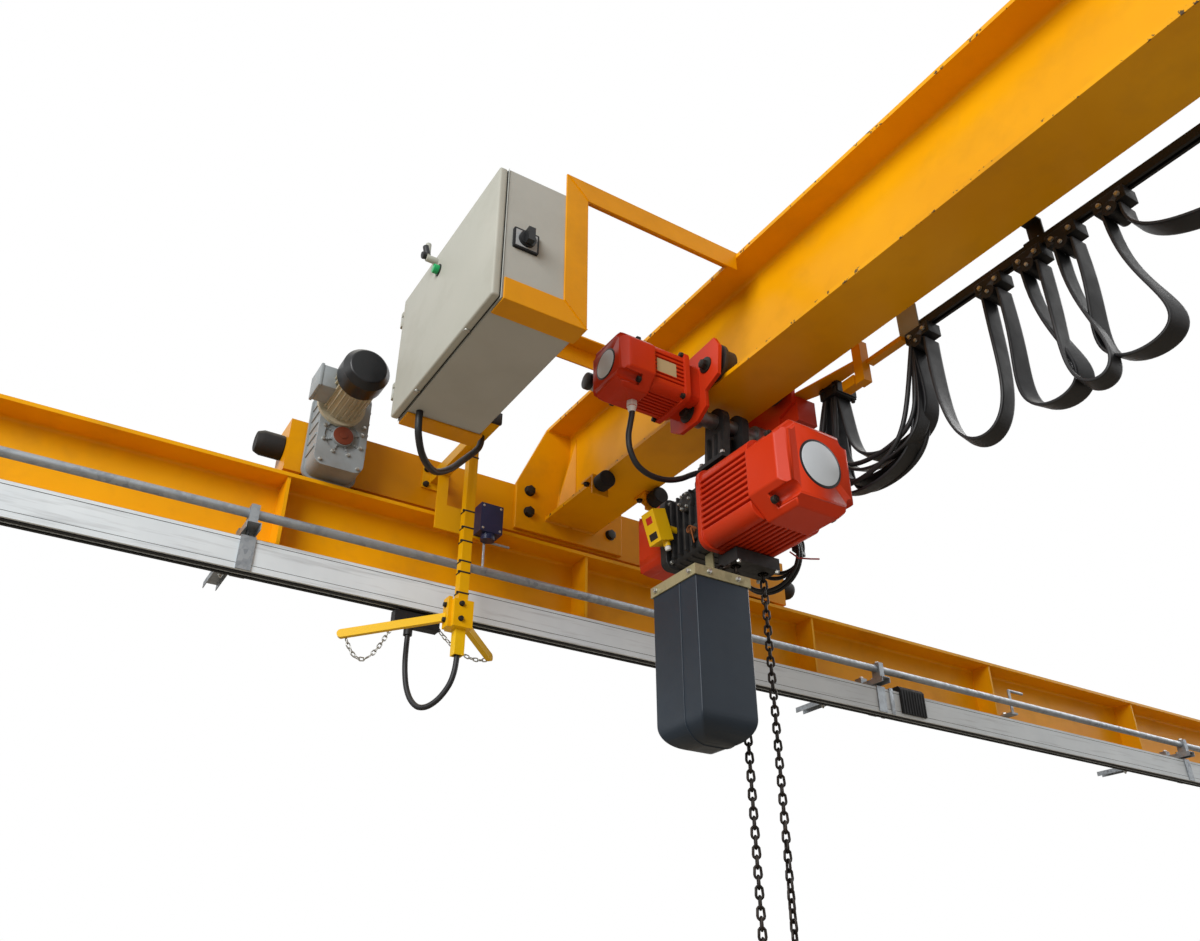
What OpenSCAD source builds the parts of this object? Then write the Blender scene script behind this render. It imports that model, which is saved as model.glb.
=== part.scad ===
// Single-girder overhead travelling crane on its two runway beams, with an electric chain hoist.
// +X runs along the girder, +Y along the runway, +Z up. The origin lies on the underside of the
// near runway beam, in line with the girder.

/* [Runway] */
// Distance between the two runway beams, centre to centre
span = 5600; // [5200:50:6400]
// Length of each runway beam
runway_l = 6300; // [5800:50:7200]
// Part of the runway behind the girder, on the side away from the viewer's right
runway_back = 2100; // [1900:10:2600]
// Depth of a runway beam
runway_h = 250; // [230:1:300]
// Flange width of a runway beam
runway_w = 200; // [170:1:240]
// Flange thickness of a runway beam
runway_tf = 12; // [9:0.5:16]
// Web thickness of a runway beam
runway_tw = 8; // [6:0.5:12]
// Distance between the web stiffeners
stiffener_pitch = 1040; // [800:10:1500]
// Width of the flat rail bar
rail_w = 40; // [30:1:50]
// Height of the flat rail bar
rail_h = 25; // [20:1:40]

/* [Conductor line] */
// Distance of the enclosed conductor bar's front face from the runway's centre
bar_x = 200; // [170:1:240]
// Depth of the bar's housing, front to back
bar_d = 56; // [46:1:64]
// Height of the bar with its lips
bar_h = 100; // [90:1:120]
// Height of the bar's top above the underside of the runway beam
bar_top = -36; // [-60:1:-30]
// Outer diameter of the galvanised tube above the bar
tube_d = 27; // [20:1:34]
// Height of the tube's centre above the underside of the runway beam
tube_z = 36; // [32:1:60]

/* [End carriage] */
// Length of an end carriage
carriage_l = 2000; // [1800:10:2400]
// Width of an end carriage
carriage_w = 120; // [110:1:150]
// Height of an end carriage
carriage_h = 180; // [170:1:220]
// Gap between the rail bar and the underside of an end carriage
carriage_gap = 6; // [6:0.5:10]
// Diameter of a carriage wheel
carriage_wheel_d = 160; // [140:1:164]
// Distance of a carriage wheel's axle from the carriage's end
wheel_inset = 145; // [120:5:300]

/* [Girder] */
// Depth of the girder
girder_h = 378; // [340:1:420]
// Flange width of the girder
girder_w = 200; // [180:1:220]
// Flange thickness of the girder
girder_tf = 13; // [11:0.5:16]
// Web thickness of the girder
girder_tw = 9; // [7:0.5:12]
// Radius between the girder's web and its flanges
root_r = 13; // [10:0.5:16]
// Height of the girder's underside above the underside of an end carriage
girder_up = 65; // [50:1:90]
// Thickness of the end plate
end_plate_t = 15; // [12:1:20]
// Width of the end plate at its foot
end_plate_w = 434; // [400:1:460]

/* [Control panel] */
// Length of the box along the girder
panel_l = 615; // [560:1:680]
// Height of the box
panel_h = 411; // [380:1:460]
// Depth of the box with its door
panel_d = 246; // [220:1:280]
// Thickness of the door
door_t = 22; // [18:1:30]
// Leg of the frame's angle iron
angle_leg = 65; // [55:1:75]
// Thickness of the frame's angle iron
angle_t = 6; // [4:0.5:8]

/* [Hoist] */
// Place of the trolley's centre along the girder
trolley_x = 950; // [940:1:990]
// Distance between the two wheels on one side of the trolley
trolley_base = 190; // [170:1:210]
// Height of the hoist's axis under the girder's underside
hoist_drop = 350; // [330:1:380]
// Diameter of the hoist motor over its fins
hoist_d = 236; // [220:1:250]
// Length of the hoist motor's finned body
hoist_body_l = 210; // [190:1:240]
// Length of the hoist motor's end cap
hoist_cap_l = 135; // [115:1:155]
// Diameter of a trolley wheel's tread
trolley_wheel_d = 94; // [86:1:100]
// Wire diameter of the load chain
chain_d = 7; // [6:0.5:8]
// Pitch of the load chain
chain_p = 21; // [18:0.5:24]
// Distance between the two falls of the chain
fall_gap = 92; // [84:1:104]
// Links in each fall of the chain
links = 66; // [60:1:80]

/* [Festoon] */
// Distance of the cable rail from the girder's centre
festoon_y = 230; // [215:1:260]
// Side of the square cable rail
festoon_s = 24; // [22:1:32]
// Width of the flat cable
flat_w = 56; // [40:1:64]
// Thickness of the flat cable bundle
flat_t = 8; // [6:0.5:12]
// Length of cable in each hanging loop
loop_len = 800; // [760:10:1000]

/* [Hidden] */
$fn = 48;
yellow = [0.93, 0.62, 0.05];
red = [0.85, 0.2, 0.1];
steel = [0.62, 0.64, 0.66];
black = [0.09, 0.09, 0.1];

carriage_z = runway_h + rail_h + carriage_gap;
girder_z = carriage_z + girder_up;
girder_top = girder_z + girder_h;
girder_x0 = carriage_w / 2;
girder_x1 = span - carriage_w / 2;
rail_top = runway_h + rail_h;
runway_y0 = -runway_back;
bar_bottom = bar_top - bar_h;
bar_cx = bar_x - bar_d / 2;
wheelbase = carriage_l - 2 * wheel_inset;
run_gap = 0.3;
hoist_z = girder_z - hoist_drop;

// A rolled H section, drawn with its underside on z = 0 and centred on x = 0. With low = 1 its
// lower flange is left off, and the web stands square where that flange's top would be.
module h_profile(h, w, tf, tw, r, low = 0) {
    for (z = low == 0 ? [0, h - tf] : [h - tf]) translate([-w / 2, z]) square([w, tf]);
    translate([-tw / 2, low * tf]) square([tw, h - low * tf]);
    for (sx = [0, 1], sz = [low : 1]) mirror([sx, 0]) translate([0, sz * h]) mirror([0, sz])
        translate([tw / 2, tf]) difference() {
            square(r);
            translate([r, r]) circle(r = r, $fn = 48);
        }
}

// A rectangle with round corners, centred
module rounded(w, h, r) {
    square([w - 2 * r, h], center = true);
    square([w, h - 2 * r], center = true);
    for (sx = [-1, 1], sy = [-1, 1]) translate([sx * (w / 2 - r), sy * (h / 2 - r)]) circle(r = r, $fn = 48);
}

// Runway beam with web stiffeners and its flat rail bar on top
module runway_beam() {
    translate([0, runway_y0 + runway_l, 0]) rotate([90, 0, 0])
        linear_extrude(runway_l) h_profile(runway_h, runway_w, runway_tf, runway_tw, 12);
    for (y = [72 : stiffener_pitch : runway_l - 50], s = [-1, 1])
        translate([s > 0 ? runway_tw / 2 : -runway_w / 2 + 6, runway_y0 + y, runway_tf])
            cube([runway_w / 2 - runway_tw / 2 - 6, 10, runway_h - 2 * runway_tf]);
    translate([-rail_w / 2, runway_y0, runway_h]) cube([rail_w, runway_l, rail_h]);
}
module runway_beams() { color(yellow) for (x = [0, span]) translate([x, 0, 0]) runway_beam(); }

// Enclosed conductor bar: a plastic housing with a slot along its underside
slot_w = 16;
seal_h = 4;
seal_in = 8;
bar_wall = 6;
rib_h = 16;
rib_out = 1.5;
module conductor_bar() {
    body_h = bar_h - seal_h;
    color([0.92, 0.93, 0.94]) translate([bar_x - bar_d, runway_y0 + runway_l, bar_top - body_h])
        rotate([90, 0, 0]) linear_extrude(runway_l) difference() {
            union() {
                square([bar_d, rib_h]);
                translate([rib_out, 0]) square([bar_d - 2 * rib_out, body_h]);
            }
            translate([bar_wall, bar_wall]) square([bar_d - 2 * bar_wall, body_h - 2 * bar_wall]);
            translate([bar_d / 2 - slot_w / 2, -1]) square([slot_w, bar_wall + 2]);
        }
}
// Black lips along the slot, and the moulded cover over the butt of two lengths of bar
joint_y = 1477;
joint_l = 132;
joint_h = 84;
module conductor_seal() {
    color(black) {
        for (s = [0, 1]) translate([bar_x - s * bar_d, runway_y0 + runway_l, bar_bottom])
            mirror([1 - s, 0, 0]) rotate([90, 0, 0]) linear_extrude(runway_l)
                polygon([[seal_in, seal_h], [seal_in, 1.5], [seal_in + 1.5, 0], [bar_d / 2 - slot_w / 2, 0],
                    [bar_d / 2 - slot_w / 2, seal_h]]);
        translate([bar_x - bar_d - 8, joint_y + joint_l / 2, bar_top]) rotate([90, 0, 0])
            linear_extrude(joint_l) difference() {
                polygon([[0, -joint_h], [0, 12], [10, 24], [bar_d + 6, 24], [bar_d + 16, 12], [bar_d + 16, -joint_h]]);
                translate([8, -joint_h - 1]) square([bar_d, joint_h + 1]);
            }
    }
}
hanger_ys = [-1085, 1310, 3330];
strut_w = 41;
strut_h = 21;
strut_t = 2.5;
// Packing under the beam clamps keeps the channel off the flange
strut_gap = 2.5;
strut_x0 = -250;
strut_x1 = 237;
clip_t = 4;
clamp_reach = 24;
module beam_clamp() {
    translate([runway_w / 2, strut_w / 2 - 4, 0]) rotate([90, 0, 0]) linear_extrude(strut_w - 8)
        polygon([[0, -strut_gap], [clamp_reach, -strut_gap], [clamp_reach, runway_tf + 10],
            [-8, runway_tf + 10], [-8, runway_tf], [0, runway_tf]]);
}
module bar_hangers() {
    color(steel) for (y = hanger_ys) translate([0, y, 0]) {
        // channel clamped under the runway flange
        translate([strut_x0, 0, -strut_gap - strut_h]) rotate([90, 0, 90]) linear_extrude(strut_x1 - strut_x0) difference() {
            translate([-strut_w / 2, 0]) square([strut_w, strut_h]);
            translate([-strut_w / 2 + strut_t, -1]) square([strut_w - 2 * strut_t, strut_h + 1 - strut_t]);
        }
        for (s = [0, 1]) mirror([s, 0, 0]) beam_clamp();
        // clip round the bar, with its stud
        translate([bar_cx, 0, bar_top]) cylinder(d = 12, h = -bar_top - strut_gap - strut_t);
        translate([0, strut_w / 2, bar_top]) rotate([90, 0, 0]) linear_extrude(strut_w) {
            translate([bar_x - bar_d - clip_t, 0]) square([bar_d + 2 * clip_t, clip_t]);
            for (x = [bar_x - bar_d - clip_t, bar_x]) translate([x, seal_h - bar_h]) square([clip_t, bar_h - seal_h + clip_t]);
        }
        // pipe clamp that holds the tube on the channel's end
        translate([bar_x, 12, 0]) rotate([90, 0, 0]) linear_extrude(24) difference() {
            translate([-20, -strut_gap]) square([40, strut_gap + tube_z + tube_d / 2 + 8]);
            translate([0, tube_z]) circle(d = tube_d + 2 * run_gap);
        }
    }
    // bent rod that trips the travel limit switch
    color(steel) translate([0, trip_y, 0]) {
        translate([-8, -20, runway_tf]) translate([runway_w / 2, 0, 0]) cube([58, 40, 8]);
        translate([trip_x, 0, runway_tf]) cylinder(d = trip_d, h = 106);
        translate([trip_x, 0, runway_tf + 106]) rotate([-90, 0, 0]) cylinder(d = trip_d, h = 90);
        translate([trip_x, 0, runway_tf + 106]) sphere(d = trip_d);
    }
}
trip_x = 140;
trip_y = 2175;
trip_d = 12;
module conduit_tube() {
    color(steel) translate([bar_x, runway_y0, tube_z]) rotate([-90, 0, 0]) difference() {
        cylinder(d = tube_d, h = runway_l);
        translate([0, 0, -1]) cylinder(d = tube_d - 5, h = runway_l + 2);
    }
}

// Girder: the web with its upper flange, and the lower flange on which the trolley runs
module main_girder() {
    color(yellow) translate([girder_x0 + end_plate_t, 0, girder_z]) rotate([90, 0, 90])
        linear_extrude(girder_x1 - girder_x0 - 2 * end_plate_t)
            h_profile(girder_h, girder_w, girder_tf, girder_tw, root_r, low = 1);
}
module girder_flange() {
    color(yellow) translate([girder_x0 + end_plate_t, -girder_w / 2, girder_z])
        cube([girder_x1 - girder_x0 - 2 * end_plate_t, girder_w, girder_tf]);
}
gusset_l = 45;
gusset_foot = 62;
gusset_t = 10;
module end_plate() {
    foot = end_plate_w / 2;
    translate([girder_x0, 0, carriage_z]) rotate([90, 0, 90]) linear_extrude(end_plate_t)
        polygon([[-foot, 8], [foot, 8], [foot, carriage_h + 3], [girder_w / 2, girder_up + girder_h],
            [-girder_w / 2, girder_up + girder_h], [-foot, carriage_h + 3]]);
    for (s = [0, 1]) mirror([0, s, 0]) gusset();
}
// A plate set across the corner of web and end plate, broad at its foot and running out upward
module gusset() {
    top = girder_h - 2 * girder_tf;
    web = girder_tw / 2;
    translate([girder_x0 + end_plate_t, 0, girder_z + girder_tf]) intersection() {
        linear_extrude(top) polygon([[0, -gusset_foot], [gusset_l, -web], [gusset_l - gusset_t, -web],
            [0, -gusset_foot + gusset_t * gusset_foot / gusset_l]]);
        rotate([90, 0, 90]) linear_extrude(gusset_l)
            polygon([[0, 0], [-gusset_foot, 0], [-0.76 * gusset_foot, 0.3 * top], [-web, 0.94 * top], [0, 0.94 * top]]);
    }
}
module end_plates() {
    color(yellow) {
        end_plate();
        translate([span, 0, 0]) mirror([1, 0, 0]) end_plate();
    }
}

// End carriage: a rectangular hollow section closed by end plates
carriage_t = 8;
module end_carriage() {
    difference() {
        translate([-carriage_w / 2, -carriage_l / 2, carriage_z]) cube([carriage_w, carriage_l, carriage_h]);
        for (s = [-1, 1]) translate([0, s * wheelbase / 2, carriage_z - 1])
            translate([-carriage_w / 2 + carriage_t, -carriage_wheel_d / 2 - 12, 0])
                cube([carriage_w - 2 * carriage_t, carriage_wheel_d + 24, carriage_h - 7]);
    }
}
module end_carriages() {
    color(yellow) {
        end_carriage();
        translate([span, 0, 0]) end_carriage();
    }
}
wheel_cz = rail_top + carriage_wheel_d / 2 + run_gap;
module carriage_wheel() {
    rotate([0, 90, 0]) {
        translate([0, 0, -rail_w / 2 - 2]) cylinder(d = carriage_wheel_d, h = rail_w + 4);
        for (s = [-1, 1]) translate([0, 0, s * (rail_w / 2 + 8) - 6]) cylinder(d = carriage_wheel_d + 16, h = 12);
        translate([0, 0, -carriage_w / 2 + carriage_t]) cylinder(d = 40, h = carriage_w - 2 * carriage_t);
    }
}
module carriage_wheels() {
    color([0.3, 0.3, 0.31]) for (x = [0, span], s = [-1, 1])
        translate([x, s * wheelbase / 2, wheel_cz]) carriage_wheel();
}

buffer_d = 80;
buffer_l = 85;
buffer_up = 100;
// End stops of the trolley: an angle under each edge of the bottom flange, with a rubber buffer
stop_x = 430;
stop_y = 102;
stop_d = 58;
stop_l = 46;
stop_t = 8;
stop_leg = 70;
module rubber_buffers() {
    color(black) for (m = [0, 1]) translate([m * span, 0, 0]) mirror([m, 0, 0]) {
        for (s = [0, 1]) translate([0, (s ? 1 : -1) * carriage_l / 2, carriage_z + buffer_up])
            rotate([s ? -90 : 90, 0, 0]) {
                cylinder(d = buffer_d, h = buffer_l - 20);
                translate([0, 0, buffer_l - 20]) cylinder(d1 = buffer_d, d2 = buffer_d - 16, h = 20);
            }
        for (s = [-1, 1]) translate([stop_x + stop_t, s * stop_y, girder_z - stop_d / 2 - 1]) rotate([0, 90, 0])
            cylinder(d = stop_d, h = stop_l);
    }
}
module stop_brackets() {
    color(yellow) for (m = [0, 1]) translate([m * span, 0, 0]) mirror([m, 0, 0])
        for (s = [-1, 1]) translate([stop_x, s * stop_y, girder_z]) {
            translate([0, -30, -stop_leg]) cube([stop_t, 60, stop_leg]);
            translate([-stop_leg + stop_t, -30, -stop_t]) cube([stop_leg, 60, stop_t]);
            translate([-stop_leg + stop_t, 3, -stop_t]) rotate([90, 0, 0]) linear_extrude(6)
                polygon([[0, 0], [stop_leg - stop_t, 0], [stop_leg - stop_t, -stop_leg + stop_t]]);
        }
}

// Travel gearmotor: parallel-shaft gearbox on the carriage, motor pointing along the girder
gear_y = -865;
gear_t = 108;
gear_w = 154;
gear_h = 286;
gear_up = 130;
gear_lip = 8;
out_up = 98;
out_d = 66;
module travel_gearbox() {
    translate([carriage_w / 2, gear_y, carriage_z]) difference() {
        union() {
            translate([gear_t / 2, 0, gear_up]) rotate([90, 0, 90]) translate([0, 0, -gear_t / 2])
                linear_extrude(gear_t) rounded(gear_w, gear_h, 30);
            translate([6, 0, gear_up]) rotate([90, 0, 90]) linear_extrude(12)
                rounded(gear_w + 2 * gear_lip, gear_h + 2 * gear_lip, 34);
        }
        translate([gear_t - 6, 0, out_up]) rotate([0, 90, 0]) cylinder(d = gear_w - 44, h = 10);
    }
    translate([carriage_w / 2 + gear_t - 6, gear_y, carriage_z + out_up]) rotate([0, 90, 0]) cylinder(d = out_d, h = 14);
}
module travel_gearboxes() {
    color(steel) {
        travel_gearbox();
        translate([span, 0, 0]) mirror([1, 0, 0]) travel_gearbox();
    }
}
travel_d = 130;
travel_y = -885;
travel_z = carriage_z + 205;
module travel_motor() {
    translate([carriage_w / 2 + gear_t, travel_y, travel_z]) rotate([0, 90, 0]) {
        cylinder(d = travel_d + 20, h = 14);
        translate([0, 0, 14]) cylinder(d = travel_d - 16, h = 150);
        for (a = [0 : 15 : 345]) rotate(a) translate([travel_d / 2 - 12, -1.5, 20]) cube([12, 3, 136]);
    }
}
module travel_motors() {
    color([0.88, 0.85, 0.76]) {
        travel_motor();
        translate([span, 0, 0]) mirror([1, 0, 0]) travel_motor();
    }
}
module fan_cover() {
    translate([carriage_w / 2 + gear_t + 164, travel_y, travel_z]) rotate([0, 90, 0]) {
        cylinder(d = travel_d + 12, h = 60);
        translate([0, 0, 60]) cylinder(d1 = travel_d + 12, d2 = travel_d - 20, h = 22);
    }
}
module fan_covers() {
    color(black) {
        fan_cover();
        translate([span, 0, 0]) mirror([1, 0, 0]) fan_cover();
    }
}

// Control panel box on two hanging angle-iron frames
panel_x = 541;
panel_y = -846;
panel_z = girder_z - 99;
box_y0 = panel_y + door_t + 2;
box_y1 = panel_y + panel_d;
frame_lo = panel_z - angle_t;
frame_hi = girder_top + angle_t;
frame_y0 = box_y0 + 4;
module panel_frame_end() {
    // legs that stand across the box's end, seen from the far runway
    translate([-angle_t, 0, 0]) {
        translate([0, frame_y0, frame_lo]) cube([angle_t, box_y1 - frame_y0 + angle_t, angle_leg]);
        translate([0, box_y1 + angle_t - angle_leg, frame_lo]) cube([angle_t, angle_leg, frame_hi - frame_lo]);
        translate([0, box_y1 + angle_t - angle_leg, frame_hi - angle_leg])
            cube([angle_t, -girder_w / 2 - box_y1 - angle_t + angle_leg, angle_leg]);
    }
    // legs under the box, behind it and over the girder
    translate([-angle_t, frame_y0, frame_lo]) cube([angle_leg, box_y1 - frame_y0 + angle_t, angle_t]);
    translate([-angle_t, box_y1, frame_lo]) cube([angle_leg, angle_t, frame_hi - frame_lo]);
    translate([-angle_t, box_y1, frame_hi - angle_t]) cube([angle_leg, -box_y1 - 20, angle_t]);
}
module panel_frame() {
    color(yellow) {
        translate([panel_x, 0, 0]) panel_frame_end();
        translate([panel_x + panel_l, 0, 0]) mirror([1, 0, 0]) panel_frame_end();
    }
}
box_t = 2;
module panel_box() {
    color([0.74, 0.75, 0.74]) {
        translate([panel_x, box_y0, panel_z]) difference() {
            cube([panel_l, box_y1 - box_y0, panel_h]);
            translate([box_t, -1, box_t]) cube([panel_l - 2 * box_t, box_y1 - box_y0 + 1 - box_t, panel_h - 2 * box_t]);
        }
        // hinge leaves on the box's side and the middle knuckles
        for (z = hinge_zs) {
            translate([hinge_x, hinge_y, z - 10]) difference() {
                cylinder(d = hinge_d, h = 20);
                translate([0, 0, -1]) cylinder(d = pin_d + 0.1, h = 22);
            }
            translate([hinge_x - hinge_d / 2, hinge_y, z - 10]) cube([3, box_y0 + 20 - hinge_y, 20]);
            translate([hinge_x - hinge_d / 2, box_y0, z - 10]) cube([panel_x - hinge_x + hinge_d / 2, 20, 20]);
        }
    }
}
hinge_x = panel_x - 5.5;
hinge_y = panel_y + 3;
hinge_d = 10;
pin_d = 4;
hinge_zs = [panel_z + 90, panel_z + panel_h - 70];
button_x = panel_x + 256;
button_z = panel_z + 338;
module panel_door() {
    color([0.8, 0.81, 0.78]) {
        translate([panel_x + 1, panel_y, panel_z + 1]) cube([panel_l - 2, door_t, panel_h - 2]);
        // hinge knuckles above and below each middle knuckle, with the pin
        for (z = hinge_zs) {
            for (s = [-1, 1]) translate([hinge_x, hinge_y, z + s * 18 - 7.5]) cylinder(d = hinge_d, h = 15);
            for (s = [-1, 1]) translate([hinge_x, hinge_y - hinge_d / 2, z + s * 18 - 7.5]) cube([panel_x + 1 - hinge_x, 3, 15]);
            translate([hinge_x, hinge_y, z - 20]) cylinder(d = pin_d, h = 40);
        }
        // push button, and the stub of the radio receiver's aerial
        translate([button_x, panel_y, button_z]) rotate([90, 0, 0]) cylinder(d = 26, h = 14);
        translate([button_x - 20, panel_y, panel_z + panel_h - 28]) rotate([90, 0, 0]) cylinder(d = 20, h = 34);
        translate([button_x - 20, panel_y - 30, panel_z + panel_h - 30]) cylinder(d = 16, h = 52);
    }
}
isolator_y = panel_y + 78;
isolator_z = panel_z + 193;
isolator_t = 8;
module isolator_plate() {
    color(black) translate([panel_x + panel_l, isolator_y, isolator_z]) rotate([90, 0, 90]) linear_extrude(isolator_t)
        difference() {
            rounded(68, 60, 4);
            circle(d = 12);
        }
}
module isolator_handle() {
    color(black) translate([panel_x + panel_l, isolator_y, isolator_z]) rotate([0, 90, 0]) {
        cylinder(d = 11.9, h = isolator_t + 1);
        translate([0, 0, isolator_t + run_gap]) cylinder(d = 44, h = 10);
        translate([-20, -9, isolator_t + 9]) cube([40, 18, 20]);
    }
}

// Round tube swept along a route, as one closed solid
function unit(v) = v / norm(v);
function along(p, i) = unit(p[min(i + 1, len(p) - 1)] - p[max(i - 1, 0)]);
function side(t) = unit(cross(t, abs(t[1]) < 0.9 ? [0, 1, 0] : [1, 0, 0]));
module tube(route, d, n = 8) {
    m = len(route);
    pts = [for (i = [0 : m - 1]) let (t = along(route, i), a = side(t), b = cross(t, a))
        for (k = [0 : n - 1]) route[i] + d / 2 * (cos(360 * k / n) * a + sin(360 * k / n) * b)];
    polyhedron(points = pts, faces = concat(
        [[for (k = [n - 1 : -1 : 0]) k]],
        [[for (k = [0 : n - 1]) (m - 1) * n + k]],
        [for (i = [0 : m - 2], k = [0 : n - 1])
            each let (a = i * n + k, b = i * n + (k + 1) % n) [[a, b, b + n], [a, b + n, a + n]]]));
}

// Two cables that leave the box and run over to the mast's arm
arm_z = girder_z + 22;
panel_cable_route = [[616, -790, 246.7], [616, -790, 215], [604, -782, 180], [570, -755, 150], [525, -715, 145],
    [480, -670, 162], [450, -618, 205], [428, -570, 262], [417, -527, 315], [415, -515, 345], [415, -515, arm_z - 0.3]];
module panel_cable() { color(black) tube(panel_cable_route, 20, 10); }

// Mast that tows the current collector along the bar
mast_x = 313;
mast_y = -495;
mast_s = 30;
arm_s = 36;
switch_x = 134;
arm_y = -512;
arm_x1 = 498;
mast_bottom = bar_bottom - 158;
block_z = bar_bottom - 37;
fork_t = 16;
fork_h = 24;
// One towing bar: a flat steel bar on edge from the clamp block to the chain's eye
module fork(a, b) {
    d = b - a;
    l = norm([d[0], d[1]]);
    translate(a) rotate([0, 0, atan2(d[1], d[0])]) rotate([90, 0, 0]) translate([0, 0, -fork_t / 2])
        linear_extrude(fork_t) {
            polygon([[0, -fork_h / 2], [0, fork_h / 2], [l, d[2] + fork_h / 2], [l, d[2] - fork_h / 2]]);
            translate([l, d[2]]) circle(d = fork_h);
        }
}
fork_far = [bar_cx, -785, -243];
fork_near = [bar_cx, -329, -223];
module collector_mast() {
    color(yellow) {
        // arm bolted to the carriage, and the upright that hangs from it
        translate([carriage_w / 2, arm_y - arm_s / 2, arm_z]) cube([arm_x1 - carriage_w / 2, arm_s, arm_s]);
        translate([carriage_w / 2, arm_y - 45, arm_z - 22]) cube([8, 90, 80]);
        translate([mast_x - mast_s / 2, mast_y - mast_s / 2, mast_bottom]) difference() {
            cube([mast_s, mast_s, arm_z + arm_s - mast_bottom]);
            translate([4, 4, -1]) cube([mast_s - 8, mast_s - 8, 60]);
        }
        // clamp block with its two towing bars
        translate([mast_x - 30, mast_y - 32, block_z - 45]) cube([60, 60, 82]);
        translate([mast_x - 20, mast_y - 44, block_z - 45]) cube([36, 12, 90]);
        fork([mast_x - 10, mast_y - 40, block_z - 12], fork_far);
        fork([mast_x - 10, mast_y + 20, block_z - 20], fork_near);
        // plate under the arm that carries the travel limit switch
        translate([switch_x, arm_y - arm_s / 2, switch_z - 7]) cube([switch_plate_t, 200, 88]);
        translate([switch_x, arm_y - arm_s / 2, switch_z + 75]) cube([switch_plate_t, arm_s, arm_z - switch_z - 75]);
    }
}
collector_y = -572;
module collector() {
    color(black) {
        translate([bar_cx - 16, collector_y - 70, bar_bottom - 47]) cube([32, 140, 42]);
        translate([bar_cx - slot_w / 2 + 3, collector_y - 50, bar_bottom - 10]) cube([slot_w - 6, 100, bar_h - 20]);
        translate([bar_cx, collector_y - 20, bar_bottom - 72]) cylinder(d = 26, h = 30);
    }
}
collector_cable_route = [[313, -495, -235.3], [313, -495, -300], [310, -499, -345], [300, -508, -380],
    [280, -525, -412], [255, -545, -430], [230, -563, -428], [208, -577, -405], [192, -586, -370],
    [181, -590, -330], [175, -592, -290], [172, -592, -250], [172, -592, -208]];
module collector_cable() { color(black) tube(collector_cable_route, 16, 10); }

// Cross-shaped travel limit switch on the plate that hangs from the mast's arm
switch_y = -356;
switch_w = 78;
switch_h = 100;
switch_out = 50;
switch_z = girder_z - 165;
switch_head = 46;
switch_head_h = 20;
switch_plate_t = 6;
lever_d = 8;
lever_l = 90;
lever_z = switch_z - 11;
module limit_switch() {
    color([0.1, 0.12, 0.25]) {
        translate([switch_x + switch_plate_t, switch_y - switch_w / 2, switch_z]) cube([switch_out, switch_w, switch_h]);
        translate([switch_x + switch_plate_t + switch_out / 2, switch_y, switch_z - switch_head_h])
            cylinder(d = switch_head, h = switch_head_h);
        translate([trip_x, switch_y, lever_z - lever_l - 2]) cylinder(d = lever_d, h = lever_l);
        translate([trip_x, switch_y, lever_z]) rotate([-90, 0, 0]) cylinder(d = lever_d, h = lever_l);
    }
}

// Festoon rail on arms that pass over the trolley's path
festoon_z = girder_z + 30;
festoon_x0 = 1440;
festoon_x1 = girder_x1 - 90;
festoon_wall = 2.5;
// Height of the arms over the girder's underside, and their clear end before the rail's
arm_rise = 126;
arm_x_end = 300;
track_slot = 9;
arm_x_first = 1830;
arm_pitch = 1080;
arm_xs = [arm_x_first : arm_pitch : festoon_x1 - arm_x_end];
arm_w = 40;
arm_lo = girder_z + arm_rise;
module festoon_rail() {
    color(black) translate([festoon_x0, festoon_y, festoon_z]) rotate([90, 0, 90])
        linear_extrude(festoon_x1 - festoon_x0) difference() {
            translate([-festoon_s / 2, 0]) square(festoon_s);
            translate([-festoon_s / 2 + festoon_wall, festoon_wall])
                square(festoon_s - 2 * festoon_wall);
            translate([-track_slot / 2, -1]) square([track_slot, festoon_wall + 2]);
        }
}
module festoon_brackets() {
    top = festoon_z + festoon_s;
    color([0.2, 0.2, 0.2]) {
        for (x = arm_xs) translate([x - arm_w / 2, 0, 0]) {
            translate([0, girder_tw / 2, arm_lo]) cube([arm_w, festoon_y + 26 - girder_tw / 2, 6]);
            translate([0, girder_tw / 2, arm_lo]) cube([6, festoon_y + 26 - girder_tw / 2, arm_w]);
            translate([0, festoon_y + 20, top]) cube([arm_w, 6, arm_lo - top]);
            translate([0, festoon_y - festoon_s / 2, top]) cube([arm_w, festoon_s / 2 + 26, 6]);
        }
        // plate at the rail's open end, and the cable clamp at its far end
        translate([festoon_x0 - 18, festoon_y - festoon_s / 2 - 5, festoon_z]) cube([65, 5, 80]);
        translate([festoon_x0 - 4, festoon_y - festoon_s / 2, festoon_z]) cube([4, festoon_s, festoon_s]);
        cable_carrier(clamp_x);
    }
}

// Cable trolleys and the flat cable that hangs between them
tow_x = 1480;
clamp_x = festoon_x1 - 35;
seen_x = [1705, 1817, 1907, 2028];
far_loops = 5;
hang_x = concat([tow_x], seen_x, [for (i = [1 : far_loops - 1]) seen_x[3] + i * (clamp_x - seen_x[3]) / far_loops], [clamp_x]);
saddle_z = festoon_z - 46;
trolley_l = 76;
saddle_d = 34;
module cable_trolley(x) { color(black) cable_carrier(x); }
module cable_carrier(x) {
    translate([x, festoon_y, festoon_z]) {
        translate([-trolley_l / 2, -24, -34]) cube([trolley_l, 48, 34 - run_gap]);
        translate([0, flat_w / 2 + 4, saddle_z - festoon_z]) rotate([90, 0, 0]) cylinder(d = saddle_d, h = flat_w + 8);
    }
}
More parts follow.
